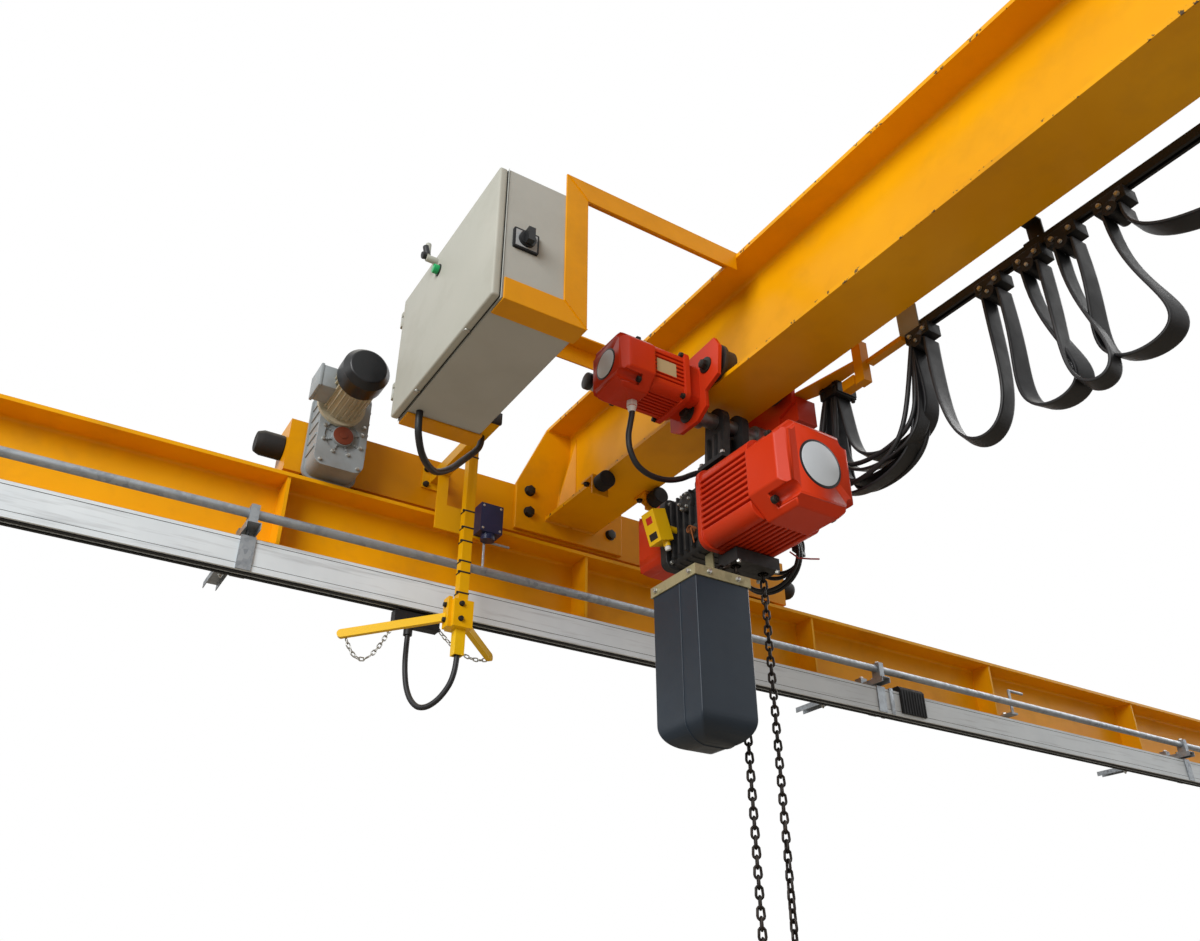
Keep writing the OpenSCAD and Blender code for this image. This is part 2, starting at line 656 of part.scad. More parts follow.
// A hanging loop of fixed cable length: narrow loops hang deep, wide ones shallow
loop_steps = 16;
function sag(g, len) = 0.45 * sqrt(pow(len, 2) - pow(g, 2));
function loop_at(g, len, u) = [-g / 2 * cos(180 * u), -sag(g, len) * pow(sin(180 * u), 1 + 0.6 * g / len)];
function loop_normal(g, len, u) = let (d = loop_at(g, len, min(u + 0.01, 1)) - loop_at(g, len, max(u - 0.01, 0)))
    [-d[1], d[0]] / norm(d);
function loop_edge(g, len, off) = [for (i = [0 : loop_steps]) let (u = i / loop_steps)
    loop_at(g, len, u) + off * loop_normal(g, len, u)];
module flat_loop(x, z, g, len = loop_len) {
    out = loop_edge(g, len, flat_t / 2);
    back = loop_edge(g, len, -flat_t / 2);
    translate([x, festoon_y + flat_w / 2, z]) rotate([90, 0, 0]) linear_extrude(flat_w)
        polygon(concat(out, [for (i = [loop_steps : -1 : 0]) back[i]]));
}
module festoon_cable() {
    color(black) for (i = [0 : len(hang_x) - 2])
        flat_loop((hang_x[i] + hang_x[i + 1]) / 2, saddle_z, hang_x[i + 1] - hang_x[i] - saddle_d - flat_t - 2 * run_gap);
}

// Trolley side plates
plate_t = 12;
plate_y = girder_w / 2 + 26;
wheel_dx = trolley_base / 2;
wheel_z = girder_z + girder_tf + trolley_wheel_d / 2 + run_gap;
pin = 22;
run_fit = 0.05;
module side_plate() {
    translate([trolley_x, 0, girder_z]) rotate([90, 0, 0]) linear_extrude(plate_t) difference() {
        polygon([[133, 116], [151, 81], [139, -8], [82, -30], [82, -81], [40, -108], [-40, -108], [-82, -81],
            [-82, -30], [-139, -8], [-151, 81], [-133, 116], [-31, 111], [31, 111]]);
        for (s = [-1, 1]) translate([s * wheel_dx, wheel_z - girder_z]) circle(d = pin);
    }
}
module side_plates() {
    color(red) {
        translate([0, -plate_y, 0]) side_plate();
        translate([0, plate_y + plate_t, 0]) side_plate();
        // terminal box on the far plate, where the trolley's cables come in
        translate([trolley_x + 65, plate_y + plate_t - 1, girder_z - 67]) cube([terminal_w, terminal_d + 1, terminal_h]);
    }
}
terminal_w = 82;
terminal_d = 66;
terminal_h = 80;
module trolley_wheel(sx, sy) {
    color(black) translate([trolley_x + sx * wheel_dx, 0, wheel_z]) mirror([0, sy < 0 ? 1 : 0, 0]) rotate([-90, 0, 0]) {
        translate([0, 0, girder_w / 2 - 34]) cylinder(d = trolley_wheel_d, h = 36);
        translate([0, 0, girder_w / 2 + 2]) cylinder(d = trolley_wheel_d + 18, h = 10);
        translate([0, 0, girder_w / 2 + 12]) cylinder(d = pin - 2 * run_fit, h = plate_y + plate_t - girder_w / 2 - 12);
    }
}
shaft_d = 44;
shaft_z = girder_z - 60;
module cross_shaft() {
    color(steel) translate([trolley_x, -plate_y, shaft_z]) rotate([-90, 0, 0]) {
        cylinder(d = shaft_d, h = 2 * plate_y);
        for (z = [0, 2 * plate_y - 34]) translate([0, 0, z]) cylinder(d = shaft_d + 20, h = 34);
    }
}
// Trolley gearmotor: a step of the reducer, a flange, the ribbed motor and its cap
drive_x = trolley_x - 4;
drive_z = girder_z + 5;
drive_s = 148;
drive_step = 44;
drive_l = 118;
drive_rib = 6;
module ribbed(s, l, r, pitch, groove, depth, count) {
    linear_extrude(l) difference() {
        rounded(s, s, r);
        for (a = [0 : 90 : 270], k = [-count : count]) rotate(a) translate([s / 2 - depth, k * pitch - groove / 2])
            square([depth + 1, groove]);
    }
}
module trolley_motor() {
    color(red) translate([drive_x, -plate_y - plate_t, drive_z]) rotate([90, 0, 0]) {
        linear_extrude(drive_step) rounded(drive_s - 24, drive_s - 24, 20);
        translate([0, 0, drive_step]) linear_extrude(16) rounded(drive_s + 12, drive_s + 12, 22);
        translate([0, 0, drive_step + 16]) difference() {
            ribbed(drive_s, drive_l - 16, 30, 13, 6, drive_rib, 3);
            translate([-drive_s / 2, drive_s / 2 - drive_rib, 14]) cube([drive_s, drive_rib + 1, drive_l - 40]);
        }
        // bare plate on the top side
        translate([-34, drive_s / 2 - drive_rib, drive_step + 34]) cube([68, 3, 54]);
    }
}
// Motor end cap: square with deep chamfers, a chamfered face and a pocket over each corner screw
module motor_cap(s, l, cut, bevel, pocket) {
    a = s / 2;
    difference() {
        intersection() {
            linear_extrude(l) polygon([[-a, -a + cut], [-a + cut, -a], [a - cut, -a], [a, -a + cut],
                [a, a - cut], [a - cut, a], [-a + cut, a], [-a, a - cut]]);
            rotate([90, 0, 0]) linear_extrude(2 * s, center = true)
                polygon([[-a - 1, 0], [a + 1, 0], [a, l - bevel], [a - bevel, l], [-a + bevel, l], [-a, l - bevel]]);
            rotate([90, 0, 90]) linear_extrude(2 * s, center = true)
                polygon([[-a - 1, 0], [a + 1, 0], [a, l - bevel], [a - bevel, l], [-a + bevel, l], [-a, l - bevel]]);
        }
        for (q = [45 : 90 : 315]) rotate(q) translate([(2 * a - cut) / sqrt(2) - 2, 0, l - pocket])
            cylinder(d = 0.17 * s, h = pocket + 1);
    }
}
drive_cap_s = 176;
drive_cap_l = 104;
gland = [940, -318, 247];
module motor_caps() {
    color(red) {
        translate([drive_x, -plate_y - plate_t - drive_step - drive_l, drive_z]) rotate([90, 0, 0])
            motor_cap(drive_cap_s, drive_cap_l, 42, 22, 66);
        translate([gland[0], gland[1], gland[2]]) cylinder(d = 24, h = 20);
        translate([motor_x0 + hoist_body_l, 0, hoist_z]) rotate([90, 0, 90])
            motor_cap(hoist_d + 10, hoist_cap_l, 58, 26, 78);
    }
}
ear_t = 22;
ear_y = 34;
module suspension_block() {
    color([0.16, 0.16, 0.17]) translate([trolley_x, 0, 0]) {
        for (s = [-1, 1]) translate([0, s * ear_y + ear_t / 2, 0]) rotate([90, 0, 0]) linear_extrude(ear_t) difference() {
            union() {
                translate([0, shaft_z]) circle(r = 42);
                polygon([[-42, shaft_z], [42, shaft_z], [30, block_top], [-56, block_top]]);
            }
            translate([0, shaft_z]) circle(d = shaft_d + 2 * run_fit);
        }
        translate([-56, -ear_y - ear_t / 2, hoist_z + hoist_d / 2]) cube([86, 2 * ear_y + ear_t, block_top + 10 - hoist_z - hoist_d / 2]);
        // foot flange, cross web and the ribs down the outside of the ears
        translate([-68, -ear_y - ear_t / 2 - foot_out, block_top]) cube([110, 2 * (ear_y + foot_out) + ear_t, foot_t]);
        translate([-18, -ear_y, block_top]) cube([rib_t, 2 * ear_y, web_top - block_top]);
        for (s = [0, 1], x = [-36, -4, 22]) mirror([0, s, 0])
            translate([x, ear_y + ear_t / 2 - 1, block_top]) rotate([90, 0, 90]) linear_extrude(rib_t)
                polygon([[0, 0], [foot_out, 0], [foot_out * 0.6, shaft_z - 46 - block_top], [0, shaft_z - 40 - block_top]]);
    }
}
foot_t = 12;
foot_out = 14;
rib_t = 9;
web_top = shaft_z - shaft_d / 2 - 8;
block_top = hoist_z + hoist_d / 2 + 40;
// Bracket that tows the cable, on the festoon's side
tow_z = girder_z + 20;
tow_x0 = 1320;
module tow_arm() {
    side = plate_y + plate_t;
    color(yellow) {
        translate([0, 0, tow_z]) linear_extrude(6)
            polygon([[trolley_x + 90, side], [trolley_x + 140, side], [tow_x0, side + 36],
                [tow_x0, side + 67], [trolley_x + 190, side + 67], [trolley_x + 90, side + 30]]);
        translate([tow_x0 - 30, side + 32, tow_z - 70]) cube([30, 30, 130]);
        translate([tow_x0 - 74, side + 26, tow_z - 70]) cube([44, 30, 30]);
        translate([tow_x0, side + 52, tow_z - 12]) cube([tow_x - trolley_l / 2 - run_gap - tow_x0, 24, 14]);
    }
}
grip_x = 1140;
grip_l = 70;
module cable_clamp() {
    color(black) translate([grip_x, plate_y + plate_t + 48, saddle_z + 1]) cube([grip_l, 72, tow_z - saddle_z - 1]);
}
bundle_x0 = grip_x + 8;
bundle_x1 = tow_x - saddle_d / 2 - run_gap;
inner_gap = 190;
inner_len = 640;
// Spare cable coiled up beside the hoist: radius, place along the coil's axis, shift, rise
coil_turns = [[94, 0, 0, 0], [92, 13, 1, 1], [70, -14, 20, 19], [62, -28, 28, 30]];
coil_at = [900, 163, -71];
coil_skew = 20;
coil_d = 11;
module cable_bundle() {
    color(black) {
        flat_loop((bundle_x0 + bundle_x1) / 2, saddle_z, bundle_x1 - bundle_x0 - flat_t);
        flat_loop(grip_x + 150, saddle_z, inner_gap, inner_len);
        translate(coil_at) rotate([0, 0, coil_skew]) {
            for (t = coil_turns) translate([t[2], t[1], t[3]]) rotate([90, 0, 0])
                rotate_extrude() translate([t[0], 0]) circle(d = coil_d, $fn = 24);
            // tape that holds the turns together where they meet
            translate([84, coil_turns[3][1] - coil_d, 7]) cube([14, coil_turns[1][1] - coil_turns[3][1] + 2 * coil_d, 14]);
        }
        // its lead into the hoist's side
        translate([coil_at[0], coil_at[1], coil_at[2] + coil_turns[0][0]]) rotate([90, 0, 0])
            cylinder(d = coil_d, h = coil_at[1] - (body_s - body_in) / 2);
    }
}

// Chain hoist
chain_x = trolley_x + 15;
motor_x0 = chain_x - 23;
body_l = 185;
body_x0 = motor_x0 - body_l;
body_s = 214;
body_in = 38;
module hoist_body() {
    color([0.25, 0.25, 0.26]) translate([body_x0, 0, hoist_z]) rotate([90, 0, 90]) {
        linear_extrude(28) rounded(body_s, body_s, 24);
        translate([0, 0, 28]) linear_extrude(body_l - 46) rounded(body_s - body_in, body_s - 14, 20);
        translate([0, 0, body_l - 18]) linear_extrude(18) rounded(body_s, body_s, 24);
    }
}
cover_w = 214;
cover_h = 196;
cover_l = 116;
cover_up = 18;
cover_bevel = 14;
module gear_cover() {
    color(red) translate([body_x0 - cover_l, 0, hoist_z + cover_up]) intersection() {
        rotate([90, 0, 90]) linear_extrude(cover_l) rounded(cover_w, cover_h, 42);
        linear_extrude(cover_h, center = true) bevelled(cover_w / 2);
        rotate([90, 0, 0]) linear_extrude(cover_w, center = true) bevelled(cover_h / 2);
    }
}
module bevelled(a) {
    polygon([[0, -a + cover_bevel], [cover_bevel, -a], [cover_l, -a], [cover_l, a], [cover_bevel, a],
        [0, a - cover_bevel]]);
}
module hoist_motor() {
    color(red) translate([motor_x0, 0, hoist_z]) rotate([90, 0, 90]) {
        linear_extrude(16) rounded(hoist_d, hoist_d, 34);
        translate([0, 0, 16]) ribbed(hoist_d - 8, hoist_body_l - 16, 38, 17, 8, 12, 4);
    }
}
module limit_box() {
    color([0.95, 0.85, 0.1]) {
        translate([limit_x, limit_y, limit_z]) rotate([limit_tilt, 0, 0]) {
            cube([limit_w, limit_d, limit_h], center = true);
            translate([12, 6, -limit_h / 2 - 14]) cylinder(d = 20, h = 15);
        }
        // spacer that stands it off the hoist's side
        translate([limit_x + 6, -(body_s - body_in) / 2, limit_z]) rotate([90, 0, 0])
            cylinder(d = 24, h = -limit_y - (body_s - body_in) / 2 - 8);
    }
}
limit_w = 54;
limit_d = 44;
limit_h = 92;
limit_tilt = 17;
limit_x = body_x0 + 40;
limit_y = -body_s / 2 - 36;
limit_z = hoist_z - 2;
container_x = 962;
container_y = -136;
container_w = 178;
container_d = 163;
container_top = hoist_z - 232;
container_h = 410;
container_t = 4;
// A moulded container with straight sides and a bottom that is rounded both ways
module container_profile(w, wall, up) {
    intersection() {
        rounded(w - 2 * wall, 2 * (container_h - wall), 0.36 * w - wall);
        translate([-w / 2, -container_h]) square([w, container_h + up]);
    }
}
module container_solid(wall, up) {
    intersection() {
        rotate([90, 0, 0]) linear_extrude(2 * container_d, center = true) container_profile(container_w, wall, up);
        rotate([90, 0, 90]) linear_extrude(2 * container_w, center = true) container_profile(container_d, wall, up);
    }
}
module chain_container() {
    color([0.2, 0.24, 0.3]) translate([container_x, container_y, container_top]) difference() {
        container_solid(0, 0);
        container_solid(container_t, 1);
    }
}
rim_h = 24;
rim_t = 4;
module container_rim() {
    color([0.6, 0.6, 0.5]) translate([container_x, container_y, container_top]) {
        translate([0, 0, -rim_h]) difference() {
            translate([-container_w / 2 - rim_t, -container_d / 2 - rim_t, 0])
                cube([container_w + 2 * rim_t, container_d + 2 * rim_t, rim_h + 3]);
            translate([-container_w / 2 - 0.2, -container_d / 2 - 0.2, -1])
                cube([container_w + 0.4, container_d + 0.4, rim_h + 5]);
        }
        // strap up to the hoist's body
        translate([-75, container_d / 2, -rim_h]) cube([32, rim_t, hoist_z - body_s / 2 + 7 - container_top + rim_h]);
    }
}
fall_y = 28;
guide_h = 36;
guide_bore = 30;
guide_roof = hoist_z - hoist_d / 2 - 7;
module chain_guide() {
    top = hoist_z - hoist_d / 2;
    color([0.12, 0.12, 0.12]) difference() {
        union() {
            translate([motor_x0 - 14, fall_y - 72, top - guide_h]) cube([76, 144, guide_h]);
            translate([motor_x0 - 14, fall_y - 72, top - guide_h]) cube([13, 130, guide_h + hoist_d / 2 - body_s / 2]);
        }
        for (s = [-1, 1]) translate([chain_x, fall_y + s * fall_gap / 2, top - guide_h - 1])
            cylinder(d = guide_bore, h = guide_roof - top + guide_h + 1);
    }
}
trolley_cable_route = [[940, -318, 246.7], [940, -318, 225], [938, -323, 190], [934, -326, 155], [929, -318, 118],
    [925, -296, 84], [922, -262, 68], [919, -222, 66], [917, -182, 74], [915, -142, 92], [914, -108, 114],
    [914, -82, 128], [914, -64, 130], [914, -45.5, 130]];
module trolley_cable() { color(black) tube(trolley_cable_route, 16, 10); }

// Load chain: every link a ring, each turned a quarter from the last
wire = chain_d - 0.4;
link_in = 9;
link_bite = 0.8;
chain_top = guide_roof - run_gap;
chain_end = chain_top - (links - 1) * chain_p - chain_p + link_bite - 2 * wire;
block_d = 140;
block_w = 64;
hook_z = chain_end - run_gap - 38;
module link() {
    rotate([90, 0, 0]) linear_extrude(wire, center = true) difference() {
        stadium(link_in + 2 * wire);
        stadium(link_in);
    }
}
module stadium(w) {
    reach = (chain_p - link_bite - link_in) / 2;
    square([w, 2 * reach], center = true);
    for (s = [-1, 1]) translate([0, s * reach]) circle(d = w, $fn = 24);
}
module load_chain() {
    color([0.15, 0.14, 0.14]) for (s = [-1, 1], i = [0 : links - 1])
        translate([chain_x, fall_y + s * fall_gap / 2, chain_top - wire - (chain_p - link_bite) / 2 - i * chain_p])
            rotate(90 * (i % 2)) link();
}
module hook_block() {
    color(red) translate([chain_x, fall_y, hook_z]) difference() {
        rotate([0, 90, 0]) translate([0, 0, -block_w / 2]) cylinder(d = block_d, h = block_w);
        for (s = [-1, 1]) translate([0, s * fall_gap / 2, 38]) cylinder(d = guide_bore, h = 80);
    }
}
hook_d = 26;
hook_r = 45;
hook_neck = 78;
hook_point = 4;
module load_hook() {
    color([0.2, 0.2, 0.2]) translate([chain_x, fall_y, hook_z - block_d / 2]) {
        translate([0, 0, -58]) cylinder(d = hook_d, h = 58);
        // the bowl runs from under the shank round the back to the point; the mouth is at the front
        translate([0, 0, -2 * hook_r - 20]) rotate([90, 0, 90]) {
            rotate(hook_neck) rotate_extrude(angle = 360 - hook_neck + hook_point, $fn = 48) translate([hook_r, 0])
                circle(d = hook_d, $fn = 24);
            rotate(hook_point) translate([hook_r, 0]) sphere(d = hook_d);
        }
    }
}

runway_beams();
conductor_bar();
conductor_seal();
bar_hangers();
conduit_tube();
main_girder();
girder_flange();
end_plates();
end_carriages();
carriage_wheels();
rubber_buffers();
stop_brackets();
travel_gearboxes();
travel_motors();
fan_covers();
panel_frame();
panel_box();
isolator_plate();
isolator_handle();
panel_door();
panel_cable();
collector_mast();
collector();
collector_cable();
limit_switch();
festoon_rail();
festoon_brackets();
festoon_cable();
side_plates();
trolley_wheel(-1, -1);  // trolley_wheel_1
trolley_wheel(1, -1);  // trolley_wheel_2
trolley_wheel(-1, 1);  // trolley_wheel_3
trolley_wheel(1, 1);  // trolley_wheel_4
cross_shaft();
trolley_motor();
motor_caps();
suspension_block();
tow_arm();
hoist_body();
gear_cover();
hoist_motor();
limit_box();
chain_container();
container_rim();
chain_guide();
trolley_cable();
cable_bundle();
cable_clamp();
load_chain();
hook_block();
load_hook();
cable_trolley(hang_x[0]);  // tow_trolley
cable_trolley(hang_x[1]);  // cable_trolley_1
cable_trolley(hang_x[2]);  // cable_trolley_2
cable_trolley(hang_x[3]);  // cable_trolley_3
cable_trolley(hang_x[4]);  // cable_trolley_4
cable_trolley(hang_x[5]);  // cable_trolley_5
cable_trolley(hang_x[6]);  // cable_trolley_6
cable_trolley(hang_x[7]);  // cable_trolley_7
cable_trolley(hang_x[8]);  // cable_trolley_8
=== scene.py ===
# A single-girder overhead travelling crane: two runway beams on their wall seats, a rolled H girder
# on end carriages, an electric chain hoist on a motor trolley, and the power line and flat cables
# that feed it. Painted rolled steel for the most part, with cast, galvanised and moulded pieces.
import math

import bmesh
import bpy
from mathutils import Matrix, Vector


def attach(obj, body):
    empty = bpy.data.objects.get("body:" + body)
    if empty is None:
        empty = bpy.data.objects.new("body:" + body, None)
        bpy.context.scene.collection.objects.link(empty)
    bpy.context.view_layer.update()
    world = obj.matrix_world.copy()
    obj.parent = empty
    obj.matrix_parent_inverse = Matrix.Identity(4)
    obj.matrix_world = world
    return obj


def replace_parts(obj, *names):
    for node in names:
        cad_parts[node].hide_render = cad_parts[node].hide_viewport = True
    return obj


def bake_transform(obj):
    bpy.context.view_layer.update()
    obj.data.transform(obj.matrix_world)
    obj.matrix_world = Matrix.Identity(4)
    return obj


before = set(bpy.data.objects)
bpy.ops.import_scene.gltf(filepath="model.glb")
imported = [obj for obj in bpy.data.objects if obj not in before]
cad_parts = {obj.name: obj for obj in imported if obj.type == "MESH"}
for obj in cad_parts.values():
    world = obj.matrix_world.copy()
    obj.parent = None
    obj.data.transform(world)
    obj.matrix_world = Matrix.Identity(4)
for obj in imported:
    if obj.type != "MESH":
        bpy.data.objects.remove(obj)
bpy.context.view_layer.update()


# Camera and light. A wide lens held at chest height under the girder, looking up along the hoist.
# One large soft lamp on the viewer's side and a pale sky light the paint at a plain level.
def linear(colour):
    parts = [int(colour[i:i + 2], 16) / 255 for i in (1, 3, 5)]
    return tuple(c / 12.92 if c <= 0.04045 else ((c + 0.055) / 1.055) ** 2.4 for c in parts) + (1.0,)


def add(tree, kind, wires=None, **settings):
    """Adds a node with its settings, its inputs fed by sockets, numbers or hex colours."""
    node = tree.nodes.new(kind)
    for key, value in settings.items():
        setattr(node, key, value)
    for key, value in (wires or {}).items():
        if isinstance(value, bpy.types.NodeSocket):
            tree.links.new(value, node.inputs[key])
        else:
            node.inputs[key].default_value = linear(value) if isinstance(value, str) else value
    return node


camera = bpy.data.objects.new("camera", bpy.data.cameras.new("camera"))
camera.data.sensor_fit = "HORIZONTAL"
camera.data.sensor_width = 36
camera.data.lens = 30.02
camera.data.clip_end = 200
camera.matrix_world = Matrix((
    (0.53146, 0.42717, 0.73149, 2.7839),
    (0.84708, -0.27003, -0.45775, -1.5720),
    (0.00199, 0.86291, -0.50536, -1.2557),
    (0, 0, 0, 1),
))
bpy.context.scene.collection.objects.link(camera)
bpy.context.scene.camera = camera
bpy.context.scene.view_settings.view_transform = "Standard"


def lamp(name, at, towards, size, watts):
    light = bpy.data.objects.new(name, bpy.data.lights.new(name, "AREA"))
    light.data.shape = "SQUARE"
    light.data.size = size
    light.data.energy = watts
    aim = (Vector(towards) - Vector(at)).to_track_quat("-Z", "Y").to_matrix().to_4x4()
    light.matrix_world = Matrix.Translation(at) @ aim
    bpy.context.scene.collection.objects.link(light)


lamp("key_light", (3.8, -5.6, 2.2), (1.2, 0, 0.2), 4.0, 425)
lamp("fill_light", (0.5, 5.5, 3.0), (1.5, 0.5, 0.3), 4.0, 150)

sky_lit = 0.30
world = bpy.data.worlds.new("pale_sky")
world.use_nodes = True
bpy.context.scene.world = world
sky = world.node_tree
rays = add(sky, "ShaderNodeLightPath").outputs
seen = rays["Is Camera Ray"]
for ray in ("Is Glossy Ray", "Is Transmission Ray"):
    seen = add(sky, "ShaderNodeMath", {0: seen, 1: rays[ray]}, operation="MAXIMUM").outputs[0]
level = add(sky, "ShaderNodeMapRange", {"Value": seen, "To Min": sky_lit, "To Max": 1.0})
sky.links.new(level.outputs["Result"], sky.nodes["Background"].inputs["Strength"])
sky.nodes["Background"].inputs["Color"].default_value = linear("#FFFFFF")


# Floor. A plain pale slab of sealed screed, just under the lowest point the hook can reach.
floor_z = -3.1
slab = bmesh.new()
bmesh.ops.create_grid(slab, x_segments=1, y_segments=1, size=30)
bmesh.ops.translate(slab, verts=slab.verts, vec=(2.5, 0, floor_z))
floor_mesh = bpy.data.meshes.new("floor")
slab.to_mesh(floor_mesh)
slab.free()
floor = bpy.data.objects.new("floor", floor_mesh)
bpy.context.scene.collection.objects.link(floor)
screed = bpy.data.materials.new("sealed_screed")
screed.use_nodes = True
screed_shader = screed.node_tree.nodes["Principled BSDF"].inputs
screed_shader["Base Color"].default_value = linear("#C2B5A3")
screed_shader["Roughness"].default_value = 0.85
floor.data.materials.append(screed)


# Runway beams. Rolled H sections with welded web stiffeners and a flat rail bar along the top,
# brushed with gloss alkyd enamel in crane yellow that has drifted in tone, chipped and dulled.
def begun(name):
    """A new material, its node tree, its shader's sockets and the place on the piece."""
    finish = bpy.data.materials.new(name)
    finish.use_nodes = True
    tree = finish.node_tree
    sockets = tree.nodes["Principled BSDF"].inputs
    return finish, tree, sockets, add(tree, "ShaderNodeTexCoord").outputs["Object"]


def speckle(tree, place, size, low, high):
    """A mask of soft blotches of one size in metres: 0 under low, 1 over high."""
    noise = add(tree, "ShaderNodeTexNoise", {"Vector": place, "Scale": 1 / size, "Detail": 4.0, "Roughness": 0.6})
    limits = {"Value": noise.outputs["Fac"], "From Min": low, "From Max": high}
    return add(tree, "ShaderNodeMapRange", limits).outputs["Result"]


def coats(tree, ground, *layers):
    """Lays colours over a ground colour, each through its mask, from the lowest coat up."""
    for mask, colour in layers:
        ground = add(tree, "ShaderNodeMix", {0: mask, 6: ground, 7: colour}, data_type="RGBA").outputs[2]
    return ground


def enamel(name, colour, deep, grime, rough, peel=0.004, chip="#6E5A3C", wear=0.69, rim=None):
    """Brushed or sprayed gloss paint on steel: broad tone drift, settled grime, a few small chips
    that show the primer, and the orange peel of the wet film, all sized in metres. With rim, the
    flange's edges past that distance from the centre are knocked and chipped."""
    finish, tree, sockets, place = begun(name)
    film = speckle(tree, place, 0.16, 0.5, 0.85)
    settled = add(tree, "ShaderNodeMath", {0: film, 1: grime}, operation="MULTIPLY").outputs[0]
    chips = add(tree, "ShaderNodeTexVoronoi", {"Vector": place, "Scale": 1 / 0.05}).outputs["Distance"]
    near = add(tree, "ShaderNodeMapRange", {"Value": chips, "From Min": 0.07, "From Max": 0.04}).outputs["Result"]
    worn = speckle(tree, place, 0.09, wear - 0.02, wear)
    bare = add(tree, "ShaderNodeMath", {0: near, 1: worn}, operation="MULTIPLY").outputs[0]
    layers = [(speckle(tree, place, 0.6, 0.35, 0.7), deep), (settled, "#5E4A2E"), (bare, chip)]
    if rim:
        across = add(tree, "ShaderNodeSeparateXYZ", {"Vector": place}).outputs["Y"]
        out = add(tree, "ShaderNodeMath", {0: across}, operation="ABSOLUTE").outputs[0]
        verge = {"Value": out, "From Min": rim - 0.004, "From Max": rim - 0.0005}
        edge = add(tree, "ShaderNodeMapRange", verge).outputs["Result"]
        knocks = {0: edge, 1: speckle(tree, place, 0.018, 0.61, 0.64)}
        layers.append((add(tree, "ShaderNodeMath", knocks, operation="MULTIPLY").outputs[0], "#4A3A28"))
    tree.links.new(coats(tree, colour, *layers), sockets["Base Color"])
    gloss = add(tree, "ShaderNodeMapRange", {"Value": film, "To Min": rough, "To Max": rough + 0.16})
    tree.links.new(gloss.outputs["Result"], sockets["Roughness"])
    ripple = add(tree, "ShaderNodeTexNoise", {"Vector": place, "Scale": 1 / peel, "Detail": 1.0}).outputs["Fac"]
    bump = add(tree, "ShaderNodeBump", {"Height": ripple, "Strength": 0.25, "Distance": 0.0004})
    tree.links.new(bump.outputs["Normal"], sockets["Normal"])
    sockets["Specular IOR Level"].default_value = 0.17
    sockets["Coat Weight"].default_value = 0.02
    sockets["Coat Roughness"].default_value = 0.15
    return finish


def dress(finish, *names):
    for name in names:
        node = bpy.data.objects[name]
        if not node.material_slots:
            node.data.materials.append(finish)
        for i in range(len(node.data.materials)):
            node.data.materials[i] = finish


crane_yellow = enamel("brushed_alkyd_enamel_yellow", "#E29C02", "#D28A02", 0.25, 0.36)
girder_yellow = enamel("brushed_alkyd_enamel_girder", "#EAA602", "#DC9602", 0.2, 0.34, rim=0.1)
runway_yellow = enamel("brushed_alkyd_enamel_runway", "#F2AE06", "#E49E04", 0.25, 0.36)
dress(runway_yellow, "runway_beams")


# Conductor line. A housing of extruded white PVC with a raised rib along its foot, black sealing
# lips of EPDM rubber that close its slot, and a ribbed moulded cover over the butt of two lengths.
def moulded(name, colour, deep, rough, grain=0.0012, dust="#A39C8C", dusty=0.25, streak=None, gloss=0.4):
    """Moulded or extruded plastic or rubber: even colour, faint clouds, a fine skin, dust on the
    faces that look up and smudges drawn out along one axis where streak gives its stretch."""
    finish, tree, sockets, place = begun(name)
    layers = [(speckle(tree, place, 0.22, 0.35, 0.75), deep)]
    if streak:
        drawn = add(tree, "ShaderNodeMapping", {"Vector": place, "Scale": streak}).outputs["Vector"]
        smudge = {0: speckle(tree, drawn, 0.03, 0.52, 0.78), 1: 0.5}
        layers.append((add(tree, "ShaderNodeMath", smudge, operation="MULTIPLY").outputs[0], dust))
    normal = add(tree, "ShaderNodeNewGeometry").outputs["Normal"]
    facing = add(tree, "ShaderNodeSeparateXYZ", {"Vector": normal}).outputs["Z"]
    upward = add(tree, "ShaderNodeMapRange", {"Value": facing, "From Min": 0.3, "From Max": 0.95, "To Max": dusty})
    lying = {0: upward.outputs["Result"], 1: speckle(tree, place, 0.03, 0.2, 0.7)}
    layers.append((add(tree, "ShaderNodeMath", lying, operation="MULTIPLY").outputs[0], dust))
    tree.links.new(coats(tree, colour, *layers), sockets["Base Color"])
    worn = {"Value": speckle(tree, place, 0.05, 0.3, 0.7), "To Min": rough, "To Max": rough + 0.14}
    tree.links.new(add(tree, "ShaderNodeMapRange", worn).outputs["Result"], sockets["Roughness"])
    skin = add(tree, "ShaderNodeTexNoise", {"Vector": place, "Scale": 1 / grain, "Detail": 2.0}).outputs["Fac"]
    bump = add(tree, "ShaderNodeBump", {"Height": skin, "Strength": 0.3, "Distance": 0.0002})
    tree.links.new(bump.outputs["Normal"], sockets["Normal"])
    sockets["Specular IOR Level"].default_value = gloss
    return finish


bar_white = moulded("extruded_pvc_white", "#DFE7EC", "#D3DBE1", 0.4, dust="#7E8083", streak=(1.0, 0.12, 2.2))
lip_black = moulded("extruded_epdm_black", "#1B1C1E", "#242527", 0.55, gloss=0.25)
dress(bar_white, "conductor_bar")
dress(lip_black, "conductor_seal")


def fit(name, bm, finish, body, sharp=35):
    """Turns a finished bmesh into a piece with crisp edges where faces meet past an angle."""
    mesh = bpy.data.meshes.new(name)
    bm.to_mesh(mesh)
    bm.free()
    mesh.materials.append(finish)
    mesh.shade_smooth()
    mesh.set_sharp_from_angle(angle=math.radians(sharp))
    piece = bpy.data.objects.new(name, mesh)
    bpy.context.scene.collection.objects.link(piece)
    if body:
        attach(piece, body)
    return piece


